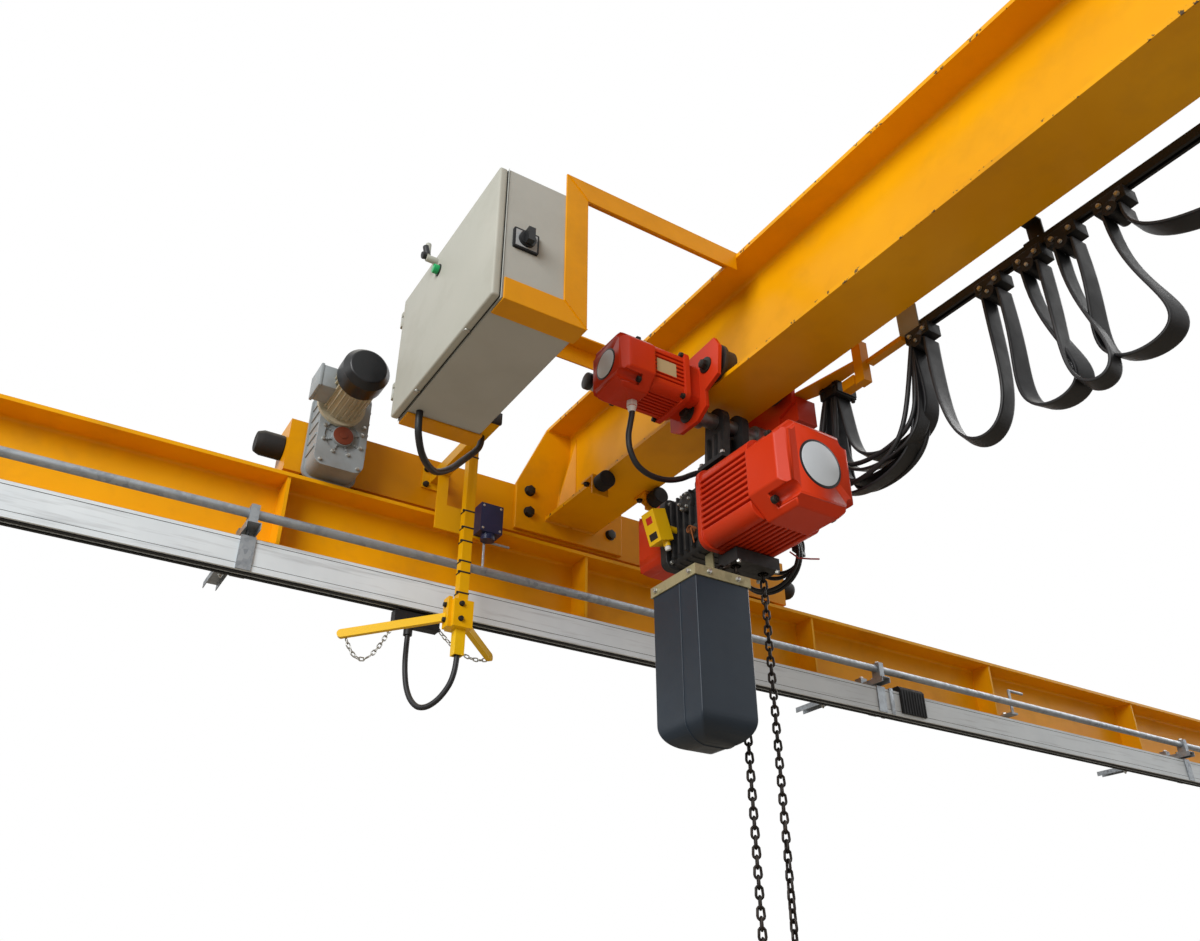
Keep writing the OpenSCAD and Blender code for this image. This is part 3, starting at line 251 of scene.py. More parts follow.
def block(bm, one, other, edge=0.0, segments=2, turn=None):
    """A block between two corners, with its edges broken by a small bevel, turned by a matrix."""
    low, high = Vector(map(min, one, other)), Vector(map(max, one, other))
    made = bmesh.ops.create_cube(bm, size=1.0)["verts"]
    bmesh.ops.scale(bm, verts=made, vec=high - low)
    bmesh.ops.translate(bm, verts=made, vec=(low + high) / 2)
    if edge:
        edges = list(dict.fromkeys(e for v in made for e in v.link_edges))
        made = bmesh.ops.bevel(
            bm, geom=edges, offset=edge, offset_type="OFFSET", affect="EDGES",
            segments=segments, profile=0.5, material=-1,
        )["verts"] + [v for v in made if v.is_valid]
    if turn:
        bmesh.ops.transform(bm, matrix=turn, verts=list(set(made)))


def turned(at, axis):
    return Matrix.Translation(at) @ Vector(axis).to_track_quat("Z", "Y").to_matrix().to_4x4()


def disc(bm, at, axis, radius, depth, edge=0.0, sides=32, radius_top=None):
    """A turned disc or boss that stands on a point, with its outer rim broken by a bevel."""
    base = turned(at, axis)
    top = radius if radius_top is None else radius_top
    made = bmesh.ops.create_cone(
        bm, cap_ends=True, segments=sides, radius1=radius, radius2=top, depth=depth,
        matrix=base @ Matrix.Translation((0, 0, depth / 2)),
    )
    if edge:
        back = base.inverted()
        top_z = depth * 0.99
        edges = dict.fromkeys(e for v in made["verts"] for e in v.link_edges)
        rim = [e for e in edges if all((back @ v.co).z > top_z for v in e.verts)]
        bmesh.ops.bevel(bm, geom=rim, offset=edge, offset_type="OFFSET", affect="EDGES",
                        segments=2, profile=0.5, material=-1)


def hex_bolt(bm, at, axis, flats=0.017, head=0.007):
    """A hexagon head with a chamfered crown on its plain washer."""
    disc(bm, at, axis, flats * 0.62, 0.002, 0.0004, 24)
    seat = Vector(at) + Vector(axis).normalized() * 0.002
    disc(bm, seat, axis, flats / math.sqrt(3), head, flats * 0.07, 6)


# Painted shadow: thin black strips on both faces of the bar, over its rib and just under its top, stand for the shade
# there; then the ribs of the joint cover.
bar_face_x, bar_back_x, bar_top_z, bar_step_z = 0.200, 0.144, -0.036, -0.116
line_y0, line_y1 = -2.1, 4.2
shadow_lines = bmesh.new()
for z in (bar_step_z + 0.0004, bar_top_z - 0.011):
    block(shadow_lines, (bar_face_x - 0.0018, line_y0, z), (bar_face_x - 0.0012, line_y1, z + 0.0016))
    block(shadow_lines, (bar_back_x + 0.0012, line_y0, z), (bar_back_x + 0.0018, line_y1, z + 0.0016))
fit("bar_painted_shadow_lines", shadow_lines, lip_black, "runway")
cover_ribs = bmesh.new()
for i in range(9):
    y = 1.4150 + i * 0.0150
    block(cover_ribs, (0.207, y, -0.119), (0.2105, y + 0.004, -0.028), 0.001)
fit("joint_cover_ribs", cover_ribs, lip_black, "runway")


# Hangers, conduit and trip rod. Strut channel, beam clamps and pipe clamps, hot-dip galvanised,
# drawn together with zinc-plated bolts; the spangle of the zinc shows as pale and dark grains.
def zinc(name, colour, deep, rough, spangle, metallic=0.75):
    """Bare or plated metal: crystals that differ in tone and gloss, and dull patches of oxide."""
    finish, tree, sockets, place = begun(name)
    grains = add(tree, "ShaderNodeTexVoronoi", {"Vector": place, "Scale": 1 / spangle}, feature="F1")
    shade = add(tree, "ShaderNodeSeparateColor", {"Color": grains.outputs["Color"]}).outputs["Red"]
    dull = {0: shade, 1: speckle(tree, place, 0.07, 0.4, 0.7)}
    mixed = add(tree, "ShaderNodeMath", dull, operation="MULTIPLY").outputs[0]
    tree.links.new(coats(tree, colour, (mixed, deep)), sockets["Base Color"])
    gloss = add(tree, "ShaderNodeMapRange", {"Value": shade, "To Min": rough, "To Max": rough + 0.18})
    tree.links.new(gloss.outputs["Result"], sockets["Roughness"])
    sockets["Metallic"].default_value = metallic
    return finish


galvanised = zinc("hot_dip_galvanised_steel", "#9DA3A8", "#757B82", 0.42, 0.012)
plated = zinc("zinc_plated_steel", "#B7B8B4", "#8C8D87", 0.3, 0.004, 0.9)
dress(galvanised, "bar_hangers", "conduit_tube")
hanger_ys = (-1.085, 1.310, 3.330)
clamp_x, strut_under, clamp_top = 0.112, -0.0235, 0.022
hanger_bolts = bmesh.new()
for y in hanger_ys:
    for side in (-1, 1):
        hex_bolt(hanger_bolts, (side * clamp_x, y, clamp_top), (0, 0, 1), 0.013, 0.006)
        disc(hanger_bolts, (side * clamp_x, y, strut_under - 0.012), (0, 0, 1), 0.004, 0.03, 0.0, 12)
        hex_bolt(hanger_bolts, (side * clamp_x, y, strut_under + 0.001), (0, 0, -1), 0.013, 0.006)
    hex_bolt(hanger_bolts, (0.172, y, -0.0025), (0, 0, 1), 0.017, 0.008)
    hex_bolt(hanger_bolts, (0.200, y, 0.0575), (0, 0, 1), 0.013, 0.006)
for y in (2.165, 2.185):
    hex_bolt(hanger_bolts, (0.105, y, 0.020), (0, 0, 1), 0.013, 0.006)
fit("hanger_bolts", hanger_bolts, plated, "runway")
# A folded clip that closes the bar's end of the joint.
bar_clip = bmesh.new()
for x0, x1, z0, z1 in (
    (0.200, 0.2025, -0.133, -0.030), (0.141, 0.2025, -0.0345, -0.032), (0.141, 0.1435, -0.133, -0.030),
):
    block(bar_clip, (x0, 1.356, z0), (x1, 1.376, z1), 0.0008)
fit("bar_clip", bar_clip, galvanised, "runway")


# Girder with its end plates, gussets and trolley stops, welded up from rolled section and plate
# and painted as one. High-strength bolts with a black oxide finish hold it to the end carriages.
def softened(name, edge, finish, body, least=0.0, angle=40, also=None, part=None, where=None):
    """One CAD node with its triangles merged into whole faces and its edges broken to a small
    radius, as cast, pressed and sprayed pieces have them. It stands for the node. least spares
    straight lines shorter than a length in metres, where picks edges by their middle, and also
    paints the faces that part picks by place."""
    bm = bmesh.new()
    bm.from_mesh(bpy.data.objects[name].data)
    bmesh.ops.remove_doubles(bm, verts=bm.verts, dist=0.00002)
    bmesh.ops.dissolve_limit(bm, angle_limit=math.radians(0.5), verts=bm.verts, edges=bm.edges)
    for face in bm.faces:
        face.material_index = 1 if part and part(face.calc_center_median()) else 0
    weight = bm.edges.layers.float.new("bevel_weight_edge")
    lines = {}
    for e in bm.edges:
        middle = (e.verts[0].co + e.verts[1].co) / 2
        crease = len(e.link_faces) == 2 and e.calc_face_angle(0) > math.radians(angle)
        if crease and (where is None or where(middle)):
            way = (e.verts[1].co - e.verts[0].co).normalized()
            # one sign for both ways along a line, and its point nearest to the origin, name it
            way = -way if min(way) < -0.99 or tuple(way) < (0, 0, 0) else way
            foot = middle - way * middle.dot(way)
            lines.setdefault(tuple(round(c, 3) + 0.0 for c in (*way, *foot)), []).append(e)
    for edges in lines.values():
        if sum(e.calc_length() for e in edges) >= least:
            for e in edges:
                e[weight] = 1.0
    piece = fit(name + "_finished", bm, finish, body)
    if also:
        piece.data.materials.append(also)
    ease = piece.modifiers.new("broken_edges", "BEVEL")
    ease.width = edge
    ease.segments = 2
    ease.limit_method = "WEIGHT"
    ease.use_clamp_overlap = least == 0
    ease.harden_normals = True
    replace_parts(piece, name)
    return piece


dress(girder_yellow, "main_girder", "girder_flange")
dress(crane_yellow, "end_carriages")
softened("end_plates", 0.0025, crane_yellow, "bridge")
softened("stop_brackets", 0.0015, crane_yellow, "bridge")
span = 5.6
black_oxide = zinc("black_oxide_steel", "#24231F", "#3A3833", 0.42, 0.006, 0.6)
girder_bolts = bmesh.new()
for y in (-0.166, 0.166):
    for z in (0.359, 0.442):
        hex_bolt(girder_bolts, (0.075, y, z), (1, 0, 0), 0.032, 0.0135)
        hex_bolt(girder_bolts, (span - 0.075, y, z), (-1, 0, 0), 0.032, 0.0135)
for x in (0.385, span - 0.385):
    for y in (-0.122, -0.084, 0.084, 0.122):
        hex_bolt(girder_bolts, (x, y, 0.338), (0, 0, -1), 0.017, 0.007)
fit("girder_bolts", girder_bolts, black_oxide, "bridge")


def weld(bm, start, end, leg, out_a, out_b):
    """A fillet weld: a triangular bead laid in the corner between two plates, rippled by its runs."""
    start, end = Vector(start), Vector(end)
    steps = max(2, int((end - start).length / 0.012))
    first = [bm.verts.new(p) for p in (start + Vector(out_a) * leg, start, start + Vector(out_b) * leg)]
    edges = [bm.edges.new((first[i], first[(i + 1) % 3])) for i in range(3)]
    bmesh.ops.edgeloop_fill(bm, edges=edges)
    for i in range(steps):
        made = bmesh.ops.extrude_edge_only(bm, edges=edges)["geom"]
        ring = {v for v in made if isinstance(v, bmesh.types.BMVert)}
        edges = [e for e in made if isinstance(e, bmesh.types.BMEdge) and set(e.verts) <= ring]
        bmesh.ops.translate(bm, verts=list(ring), vec=(end - start) / steps)
        swell = 1.0 + (0.12 if i % 2 else -0.107)
        middle = start + (end - start) * ((i + 1) / steps)
        bmesh.ops.scale(bm, verts=list(ring), vec=(swell,) * 3, space=Matrix.Translation(-middle))
    bmesh.ops.edgeloop_fill(bm, edges=edges)


girder_z, girder_top, flange, leg = 0.346, 0.724, 0.013, 0.006
beads = bmesh.new()
for x, inward in ((0.075, 1), (span - 0.075, -1)):
    for y0, y1 in ((-0.1, -0.006), (0.006, 0.1)):
        for z, up in ((girder_z, -1), (girder_z + flange, 1), (girder_top - flange, -1)):
            weld(beads, (x, y0, z), (x, y1, z), leg, (inward, 0, 0), (0, 0, up))
bmesh.ops.recalc_face_normals(beads, faces=beads.faces)
fit("end_plate_welds", beads, crane_yellow, "bridge")


# End carriages. Wheels of forged steel run in pockets of the box section, and black rubber
# buffers close the ends; smaller ones stop the trolley.
forged = zinc("forged_steel_dark", "#4A4744", "#2F2C2A", 0.5, 0.02, 0.7)
buffer_black = moulded("moulded_rubber_black", "#1A1918", "#252322", 0.66, dusty=0.45, gloss=0.25)
dress(forged, "carriage_wheels")
softened("rubber_buffers", 0.004, buffer_black, "bridge")


# Travel drives. A cast aluminium gearbox painted grey, its output bore closed by a rust-red cap
# inside a ring of bolts, and a cream-painted finned motor under a black moulded fan cowl.
cast_grey = enamel("cast_aluminium_painted_grey", "#9DA3A5", "#858B8E", 0.5, 0.42, 0.003, "#B9BBBB", 0.64)
motor_cream = enamel("cast_aluminium_painted_cream", "#C6C0AA", "#B2AA92", 0.4, 0.4, 0.003, "#8F8B80", 0.68)
cowl_black = moulded("moulded_abs_black", "#0D0E10", "#16171A", 0.3, dusty=0.5)
oxide_red = enamel("oxide_red_primer", "#7A3A28", "#64301F", 0.3, 0.55)
softened("travel_gearboxes", 0.004, cast_grey, "bridge")
dress(motor_cream, "travel_motors")
softened("fan_covers", 0.004, cowl_black, "bridge")
drive_y, out_z, gear_face = -0.865, 0.379, 0.168
motor_y, motor_z = -0.885, 0.486
gear_trim, gear_bolts, caps, boxes = bmesh.new(), bmesh.new(), bmesh.new(), bmesh.new()
for base, way in ((0.0, 1), (span, -1)):
    def seen_at(x, y, z):
        return (base + way * x, y, z)
    out = (way, 0, 0)
    disc(caps, seen_at(0.176, drive_y, out_z), out, 0.031, 0.003, 0.0015)
    disc(caps, seen_at(0.179, drive_y, out_z), out, 0.012, 0.002, 0.001)
    for i in range(8):
        a = math.radians(22.5 + 45 * i)
        at = seen_at(gear_face, drive_y + 0.0625 * math.cos(a), out_z + 0.0625 * math.sin(a))
        hex_bolt(gear_bolts, at, out, 0.010, 0.005)
        # three small pads make each short web between the cap and a bolt
        for reach in (0.036, 0.044, 0.052):
            at = seen_at(0.162, drive_y + reach * math.cos(a), out_z + reach * math.sin(a))
            disc(gear_trim, at, out, 0.0035, 0.006, 0.001, 8)
    for y, z in ((-0.062, 0.118), (0.062, 0.118), (-0.062, 0.02), (0.062, 0.02),
                 (-0.058, -0.128), (0.058, -0.128), (0.0, 0.128)):
        hex_bolt(gear_bolts, seen_at(gear_face, drive_y + y, 0.411 + z), out, 0.010, 0.005)
    # cast ribs that run up the gearbox's sides, and the raised field between its upper bolts
    for y in (drive_y - 0.077, drive_y + 0.077):
        for z in (0.330, 0.372, 0.414, 0.456, 0.498):
            block(gear_trim, seen_at(0.075, y - 0.004, z - 0.004), seen_at(0.160, y + 0.004, z + 0.004), 0.0015)
    block(gear_trim, seen_at(0.166, drive_y - 0.046, 0.452), seen_at(0.1705, drive_y + 0.046, 0.512), 0.003)
    for x0, x1, y0, y1, z0, z1, edge in (
        (0.205, 0.300, -0.104, -0.054, -0.035, 0.040, 0.006),
        (0.203, 0.302, -0.110, -0.100, -0.037, 0.042, 0.003),
    ):
        block(boxes, seen_at(x0, motor_y + y0, motor_z + z0), seen_at(x1, motor_y + y1, motor_z + z1), edge)
fit("gearbox_caps", caps, oxide_red, "bridge")
fit("gearbox_webs", gear_trim, cast_grey, "bridge")
fit("gearbox_bolts", gear_bolts, plated, "bridge")
fit("terminal_boxes", boxes, cast_grey, "bridge")


# Control panel. A sheet-steel box, folded and spot-welded, and a lipped door on two hinges, both
# powder-coated light grey; it hangs from the girder in frames of angle iron.
panel_grey = enamel("powder_coat_light_grey", "#B1B2AC", "#A8AAA4", 0.12, 0.5, 0.0015, "#8C8C86", 0.74)
door_cream = enamel("powder_coat_pale_grey", "#B1B1A7", "#A8A99F", 0.12, 0.5, 0.0015, "#8C8C86", 0.74)
knob_black = moulded("moulded_polyamide_black", "#111214", "#1A1B1D", 0.35, dusty=0.2)
softened("panel_frame", 0.0015, crane_yellow, "bridge")
softened("panel_box", 0.004, panel_grey, "bridge", least=0.1)
box_x0, box_x1 = 0.541, 1.156
door_y, box_y, box_back = -0.846, -0.822, -0.600
box_z0, box_z1 = 0.247, 0.658
# The door is a pressed sheet with rolled edges, the two knuckles of each hinge welded to it, a boss
# under its push button and the pale foot of an aerial.
door = bmesh.new()
block(door, (0.542, door_y, 0.248), (1.155, -0.824, 0.657), 0.006, 4)
for z in (0.337, 0.588):
    for s in (-0.018, 0.018):
        disc(door, (0.5355, door_y + 0.003, z + s - 0.0075), (0, 0, 1), 0.005, 0.015, 0.0006, 20)
        block(door, (0.5355, door_y - 0.002, z + s - 0.0075), (0.5470, door_y + 0.001, z + s + 0.0075), 0.0005)
    disc(door, (0.5355, door_y + 0.003, z - 0.020), (0, 0, 1), 0.002, 0.040, 0.0004, 16)
disc(door, (0.797, door_y + 0.001, 0.585), (0, -1, 0), 0.0125, 0.012, 0.001, 32)
disc(door, (0.777, door_y + 0.001, 0.630), (0, -1, 0), 0.0100, 0.034, 0.002, 28)
disc(door, (0.777, -0.876, 0.628), (0, 0, 1), 0.0080, 0.052, 0.002, 24)
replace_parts(fit("door_sheet", door, door_cream, "door"), "panel_door")
gasket = bmesh.new()
for low, high in (
    ((box_x0 + 0.004, box_z0 + 0.004), (box_x1 - 0.004, box_z0 + 0.014)),
    ((box_x0 + 0.004, box_z1 - 0.014), (box_x1 - 0.004, box_z1 - 0.004)),
    ((box_x0 + 0.004, box_z0 + 0.014), (box_x0 + 0.014, box_z1 - 0.014)),
    ((box_x1 - 0.014, box_z0 + 0.014), (box_x1 - 0.004, box_z1 - 0.014)),
):
    block(gasket, (low[0], box_y - 0.0019, low[1]), (high[0], box_y - 0.0002, high[1]))
fit("door_gasket", gasket, lip_black, "door")
# Two quarter-turn latches on the door's lower edge, each a slot in a round escutcheon.
latches = bmesh.new()
for x in (0.700, 1.000):
    disc(latches, (x, door_y + 0.012, box_z0 + 0.001), (0, 0, -1), 0.008, 0.0022, 0.0008, 20)
    block(latches, (x - 0.005, door_y + 0.0110, box_z0 - 0.0022), (x + 0.005, door_y + 0.0130, box_z0 - 0.0008))
fit("door_latches", latches, plated, "door")
button_green = moulded("moulded_acrylic_green", "#12A05A", "#0F8F50", 0.2, dusty=0.1)
button = bmesh.new()
disc(button, (0.797, door_y - 0.002, 0.585), (0, -1, 0), 0.0134, 0.016, 0.003)
fit("start_button", button, button_green, "door")
button_ring = bmesh.new()
disc(button_ring, (0.797, door_y - 0.0005, 0.585), (0, -1, 0), 0.0175, 0.0026, 0.0008)
# The black elbow of the aerial over its pale foot.
disc(button_ring, (0.777, door_y - 0.030, 0.640), (0, -0.25, 1), 0.0092, 0.030, 0.003, 20)
disc(button_ring, (0.777, door_y - 0.036, 0.636), (0, -1, -0.3), 0.0105, 0.010, 0.003, 20)
fit("button_ring_and_aerial", button_ring, knob_black, "door")
dress(knob_black, "isolator_handle")
dress(lip_black, "isolator_plate")
plate_grey = enamel("anodised_plate_grey", "#A9ACAE", "#9FA2A4", 0.1, 0.4, 0.001, "#8C8C86", 0.8)
face = bmesh.new()
block(face, (box_x1 + 0.0078, -0.768 - 0.029, 0.440 - 0.025), (box_x1 + 0.0083, -0.768 + 0.029, 0.440 + 0.025))
fit("isolator_face", face, plate_grey, "bridge")
# Mitres of the angle frame, ground and painted over, still show as a raised line.
mitres = bmesh.new()
for x, way in ((box_x0 - 0.0059, -1), (box_x1 + 0.0059, 1)):
    for a, b in (((box_back + 0.006, 0.2415), (box_back - 0.058, 0.3055)),
                 ((box_back - 0.056, 0.7270), (box_back + 0.006, 0.6650))):
        weld(mitres, (x, *a), (x, *b), 0.0028, (way, 0, 0), (0, 0.7, 0.7))
bmesh.ops.recalc_face_normals(mitres, faces=mitres.faces)
fit("frame_mitres", mitres, crane_yellow, "bridge")


# Cables of the panel, the collector and the trolley motor. Round PVC-sheathed cable, one fixed
# length from gland to gland, sagging between its ends.
pvc_sheath = moulded("extruded_pvc_sheath_black", "#18191B", "#222326", 0.4, dusty=0.45, gloss=0.35)


def round_cable(name, route, diameter, body):
    """A cable along its points, given in millimetres, as one smooth curve."""
    curve = bpy.data.curves.new(name, "CURVE")
    curve.dimensions = "3D"
    curve.bevel_depth = diameter / 2
    curve.bevel_resolution = 5
    curve.use_fill_caps = True
    line = curve.splines.new("POLY")
    points = [Vector(p) / 1000 for p in route]
    smooth = []
    for i in range(len(points) - 1):
        a = points[max(i - 1, 0)]
        b, c = points[i], points[i + 1]
        d = points[min(i + 2, len(points) - 1)]
        for k in range(6):
            t = k / 6
            bend, turn = 2 * a - 5 * b + 4 * c - d, 3 * b - a - 3 * c + d
            smooth.append(0.5 * (2 * b + (c - a) * t + bend * t * t + turn * t ** 3))
    smooth.append(points[-1])
    line.points.add(len(smooth) - 1)
    for point, at in zip(line.points, smooth):
        point.co = (*at, 1)
    curve.materials.append(pvc_sheath)
    cable = bpy.data.objects.new(name, curve)
    bpy.context.scene.collection.objects.link(cable)
    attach(cable, body)
    return cable


panel_route = (
    (616, -790, 246.7), (616, -790, 215), (604, -782, 180), (570, -755, 150), (525, -715, 145), (480, -670, 162),
    (450, -618, 205), (428, -570, 262), (417, -527, 315), (415, -515, 345), (415, -515, 367.7))
collector_route = (
    (313, -495, -235.3), (313, -495, -300), (310, -499, -345), (300, -508, -380), (280, -525, -412),
    (255, -545, -430), (230, -563, -428), (208, -577, -405), (192, -586, -370), (181, -590, -330),
    (175, -592, -290), (172, -592, -250), (172, -592, -208))
motor_route = (
    (940, -318, 246.7), (940, -318, 225), (938, -323, 190), (934, -326, 155), (929, -318, 118),
    (925, -296, 84), (922, -262, 68), (919, -222, 66), (917, -182, 74), (915, -142, 92),
    (914, -108, 114), (914, -82, 128), (914, -64, 130), (914, -45.5, 130))
for name, route, diameter, body in (
    ("panel_cable", panel_route, 0.020, "bridge"),
    ("collector_cable", collector_route, 0.016, "bridge"),
    ("trolley_cable", motor_route, 0.016, "trolley"),
):
    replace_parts(round_cable("sheathed_" + name, route, diameter, body), name)


# Flat strands and links. A ring of any section is drawn along a path of stations, so that flat
# cable, load chain and towing chain keep one even section through every bend.
def stations(path, across, twist=None):
    """Square frames along a path: Z follows it, X keeps to the across direction, turned by twist."""
    frames = []
    for i, at in enumerate(path):
        ahead = (path[min(i + 1, len(path) - 1)] - path[max(i - 1, 0)]).normalized()
        side = (Vector(across) - ahead * ahead.dot(Vector(across))).normalized()
        if twist:
            side = Matrix.Rotation(twist[i], 3, ahead) @ side
        frame_here = Matrix((side, ahead.cross(side), ahead)).transposed().to_4x4()
        frame_here.translation = at
        frames.append(frame_here)
    return frames


def swept(bm, ring, frames, close=False):
    """Draws a closed ring of (x, y) points along the frames and caps it, or joins it to itself."""
    first = [bm.verts.new(frames[0] @ Vector((x, y, 0))) for x, y in ring]
    edges = [bm.edges.new((first[i], first[(i + 1) % len(first)])) for i in range(len(first))]
    opening = list(edges)
    if not close:
        bmesh.ops.edgeloop_fill(bm, edges=edges)
    for a, b in zip(frames, frames[1:]):
        made = bmesh.ops.extrude_edge_only(bm, edges=edges)["geom"]
        moved = {v for v in made if isinstance(v, bmesh.types.BMVert)}
        edges = [e for e in made if isinstance(e, bmesh.types.BMEdge) and set(e.verts) <= moved]
        bmesh.ops.transform(bm, matrix=b @ a.inverted(), verts=list(moved))
    if close:
        bmesh.ops.bridge_loops(bm, edges=edges + opening)
    else:
        bmesh.ops.edgeloop_fill(bm, edges=edges)


def circle(radius, sides):
    return [(radius * math.cos(math.tau * i / sides), radius * math.sin(math.tau * i / sides)) for i in range(sides)]


def wire(bm, path, radius, sides=10, across=(0, 0, 1)):
    swept(bm, circle(radius, sides), stations([Vector(p) for p in path], across))


def link(bm, frame_here, radius, straight, wire_r, steps=12, sides=8):
    """One welded chain link: an oval of round wire that stands in the frame's X and Z."""
    path = []
    for i in range(steps):
        a = math.tau * i / steps
        rise = straight if math.sin(a) > 1e-6 else -straight
        path.append(Vector((radius * math.cos(a), 0, radius * math.sin(a) + rise)))
    frames = []
    for i, at in enumerate(path):
        ahead = (path[(i + 1) % steps] - path[i - 1]).normalized()
        turn = Matrix((Vector((0, 1, 0)), ahead.cross(Vector((0, 1, 0))), ahead)).transposed().to_4x4()
        turn.translation = at
        frames.append(frame_here @ turn)
    swept(bm, circle(wire_r, sides), frames, close=True)


def hung_chain(bm, path, radius, straight, wire_r):
    """Light links along a slack path, every second one turned a quarter."""
    pitch = 2 * (radius + straight - wire_r)
    total = sum((b - a).length for a, b in zip(path, path[1:]))
    count = int(total / pitch)
    marks, run, k = [], 0.0, 0
    for a, b in zip(path, path[1:]):
        step = (b - a).length
        while k < count and (k + 0.5) * total / count <= run + step:
            marks.append((a.lerp(b, ((k + 0.5) * total / count - run) / step), (b - a).normalized()))
            k += 1
        run += step
    for i, (at, ahead) in enumerate(marks):
        side = ahead.orthogonal().normalized()
        here = Matrix((side, ahead.cross(side), ahead)).transposed().to_4x4()
        here.translation = at
        link(bm, here @ Matrix.Rotation(math.radians(45 + 90 * (i % 2)), 4, "Z"), radius, straight, wire_r, 10, 6)


# Collector mast. A square tube on an arm from the end carriage, with a clamp block and two flat
# towing bars that pull the collector along the bar by short chains; painted yellow, the bars in a
# lighter shade.
mast_x, mast_y, mast_half = 0.313, -0.495, 0.015
bright_yellow = enamel("sprayed_enamel_bright_yellow", "#F0C010", "#E2AE0A", 0.12, 0.36)
mast_yellow = enamel("sprayed_enamel_mast_yellow", "#E8AE06", "#DB9E05", 0.2, 0.36)
softened("collector_mast", 0.001, mast_yellow, "bridge", also=bright_yellow,
         part=lambda c: c.z < -0.19)
collector_black = moulded("moulded_polyamide_collector", "#131416", "#1B1C1E", 0.45, dusty=0.3, gloss=0.3)
softened("collector", 0.0012, collector_black, "bridge")
ties = bmesh.new()
for z in (0.345, 0.155, 0.100, 0.055, -0.010, -0.045, -0.110):
    block(ties, (mast_x - mast_half - 0.0015, mast_y - mast_half - 0.0015, z - 0.0025),
          (mast_x + mast_half + 0.0015, mast_y + mast_half + 0.0015, z + 0.0025), 0.001)
    block(ties, (mast_x + mast_half - 0.006, mast_y - mast_half - 0.007, z - 0.003),
          (mast_x + mast_half, mast_y - mast_half, z + 0.003), 0.001)
fit("cable_ties", ties, knob_black, "bridge")
mast_bolts = bmesh.new()
for z in (-0.150, -0.195):
    hex_bolt(mast_bolts, (mast_x + 0.030, mast_y - 0.010, z), (1, 0, 0), 0.013, 0.006)
    hex_bolt(mast_bolts, (mast_x - 0.002, mast_y - 0.044, z), (0, -1, 0), 0.013, 0.006)
for y in (-0.545, -0.479):
    for z in (0.358, 0.414):
        hex_bolt(mast_bolts, (0.068, y, z), (1, 0, 0), 0.017, 0.008)
fit("mast_bolts", mast_bolts, black_oxide, "bridge")
arm_cap = bmesh.new()
block(arm_cap, (0.498, -0.532, 0.366), (0.510, -0.492, 0.406), 0.003)
fit("arm_end_cap", arm_cap, knob_black, "bridge")
tow_chains = bmesh.new()
for a, b, c in (((0.172, -0.770, -0.254), (0.172, -0.712, -0.385), (0.172, -0.636, -0.172)),
                ((0.172, -0.336, -0.232), (0.172, -0.410, -0.262), (0.172, -0.505, -0.165))):
    a, b, c = Vector(a), Vector(b), Vector(c)
    slack = [(a * (1 - t) + b * 2 * t) * (1 - t) + c * t * t for t in (i / 24 for i in range(25))]
    hung_chain(tow_chains, slack, 0.0052, 0.0035, 0.0018)
fit("towing_chains", tow_chains, plated, "bridge", 60)


# Travel limit switch. A cross-lever switch in a dark blue plastic case on a yellow plate, with
# two light steel rods that the bent trip rod of the runway turns.
switch_blue = moulded("moulded_pbt_dark_blue", "#162552", "#101C40", 0.3, dusty=0.2)
softened("limit_switch", 0.0012, switch_blue, "bridge", also=galvanised,
         part=lambda c: c.x < 0.1465 and c.z < 0.178)
switch_screws = bmesh.new()
for y in (-0.386, -0.326):
    for z in (0.191, 0.271):
        disc(switch_screws, (0.190, y, z), (1, 0, 0), 0.0042, 0.0014, 0.0005, 16)
fit("switch_screws", switch_screws, plated, "bridge")


# Festoon. A track of black-lacquered C section on arms from the girder's web, moulded cable
# trolleys with steel rollers, and flat PVC cable that hangs in loops.
track_black = enamel("black_lacquered_steel", "#161615", "#22211F", 0.3, 0.42, 0.004, "#4B4036", 0.68)
carrier_black = moulded("moulded_nylon_black", "#121315", "#1B1C1E", 0.45, dusty=0.4, gloss=0.3)
plate_pale = enamel("zinc_sprayed_end_plate", "#9C9E9F", "#8B8D8E", 0.3, 0.45, 0.003)
dress(track_black, "festoon_rail")
softened("festoon_brackets", 0.001, track_black, "bridge", also=plate_pale,
         part=lambda c: c.x < 1.49 and c.y < 0.2185)
rollers = [("cable_trolley_%d" % i, "cable_%d" % i) for i in range(1, 9)]
for name, body in (("tow_trolley", "tow"), ("cable_clamp", "bridge"), *rollers):
    softened(name, 0.0012, carrier_black, body, least=0.004)
riders = ("tow", *(body for name, body in rollers), "bridge")
hang_x = (1.480, 1.705, 1.817, 1.907, 2.028, 2.7054, 3.3828, 4.0602, 4.7376, 5.415)
loop_y, saddle_z, saddle_half = 0.230, 0.330, 0.0213
for x, body in zip(hang_x, riders):
    fixings = bmesh.new()
    for side in (-1, 1):
        hex_bolt(fixings, (x + side * 0.022, loop_y - 0.024, 0.358), (0, -1, 0), 0.010, 0.004)
        hex_bolt(fixings, (x, loop_y + side * 0.032, 0.3300), (0, side, 0), 0.008, 0.003)
    fit("carrier_bolts_" + body, fixings, plated, body)


def flat_ring(width, thick, lanes):
    """A flat cable's section: round edges and a shallow valley between each pair of cores."""
    half, r, valley = width / 2, thick / 2, 0.0007
    upper = []
    for i in range(2 * lanes + 1):
        upper.append((-half + r + (width - thick) * i / (2 * lanes), r - (0.0 if i % 2 else valley)))
    upper += [(half - r + r * math.cos(a), r * math.sin(a)) for a in (math.radians(45), 0, math.radians(-45))]
    return upper + [(-x, -y) for x, y in upper]


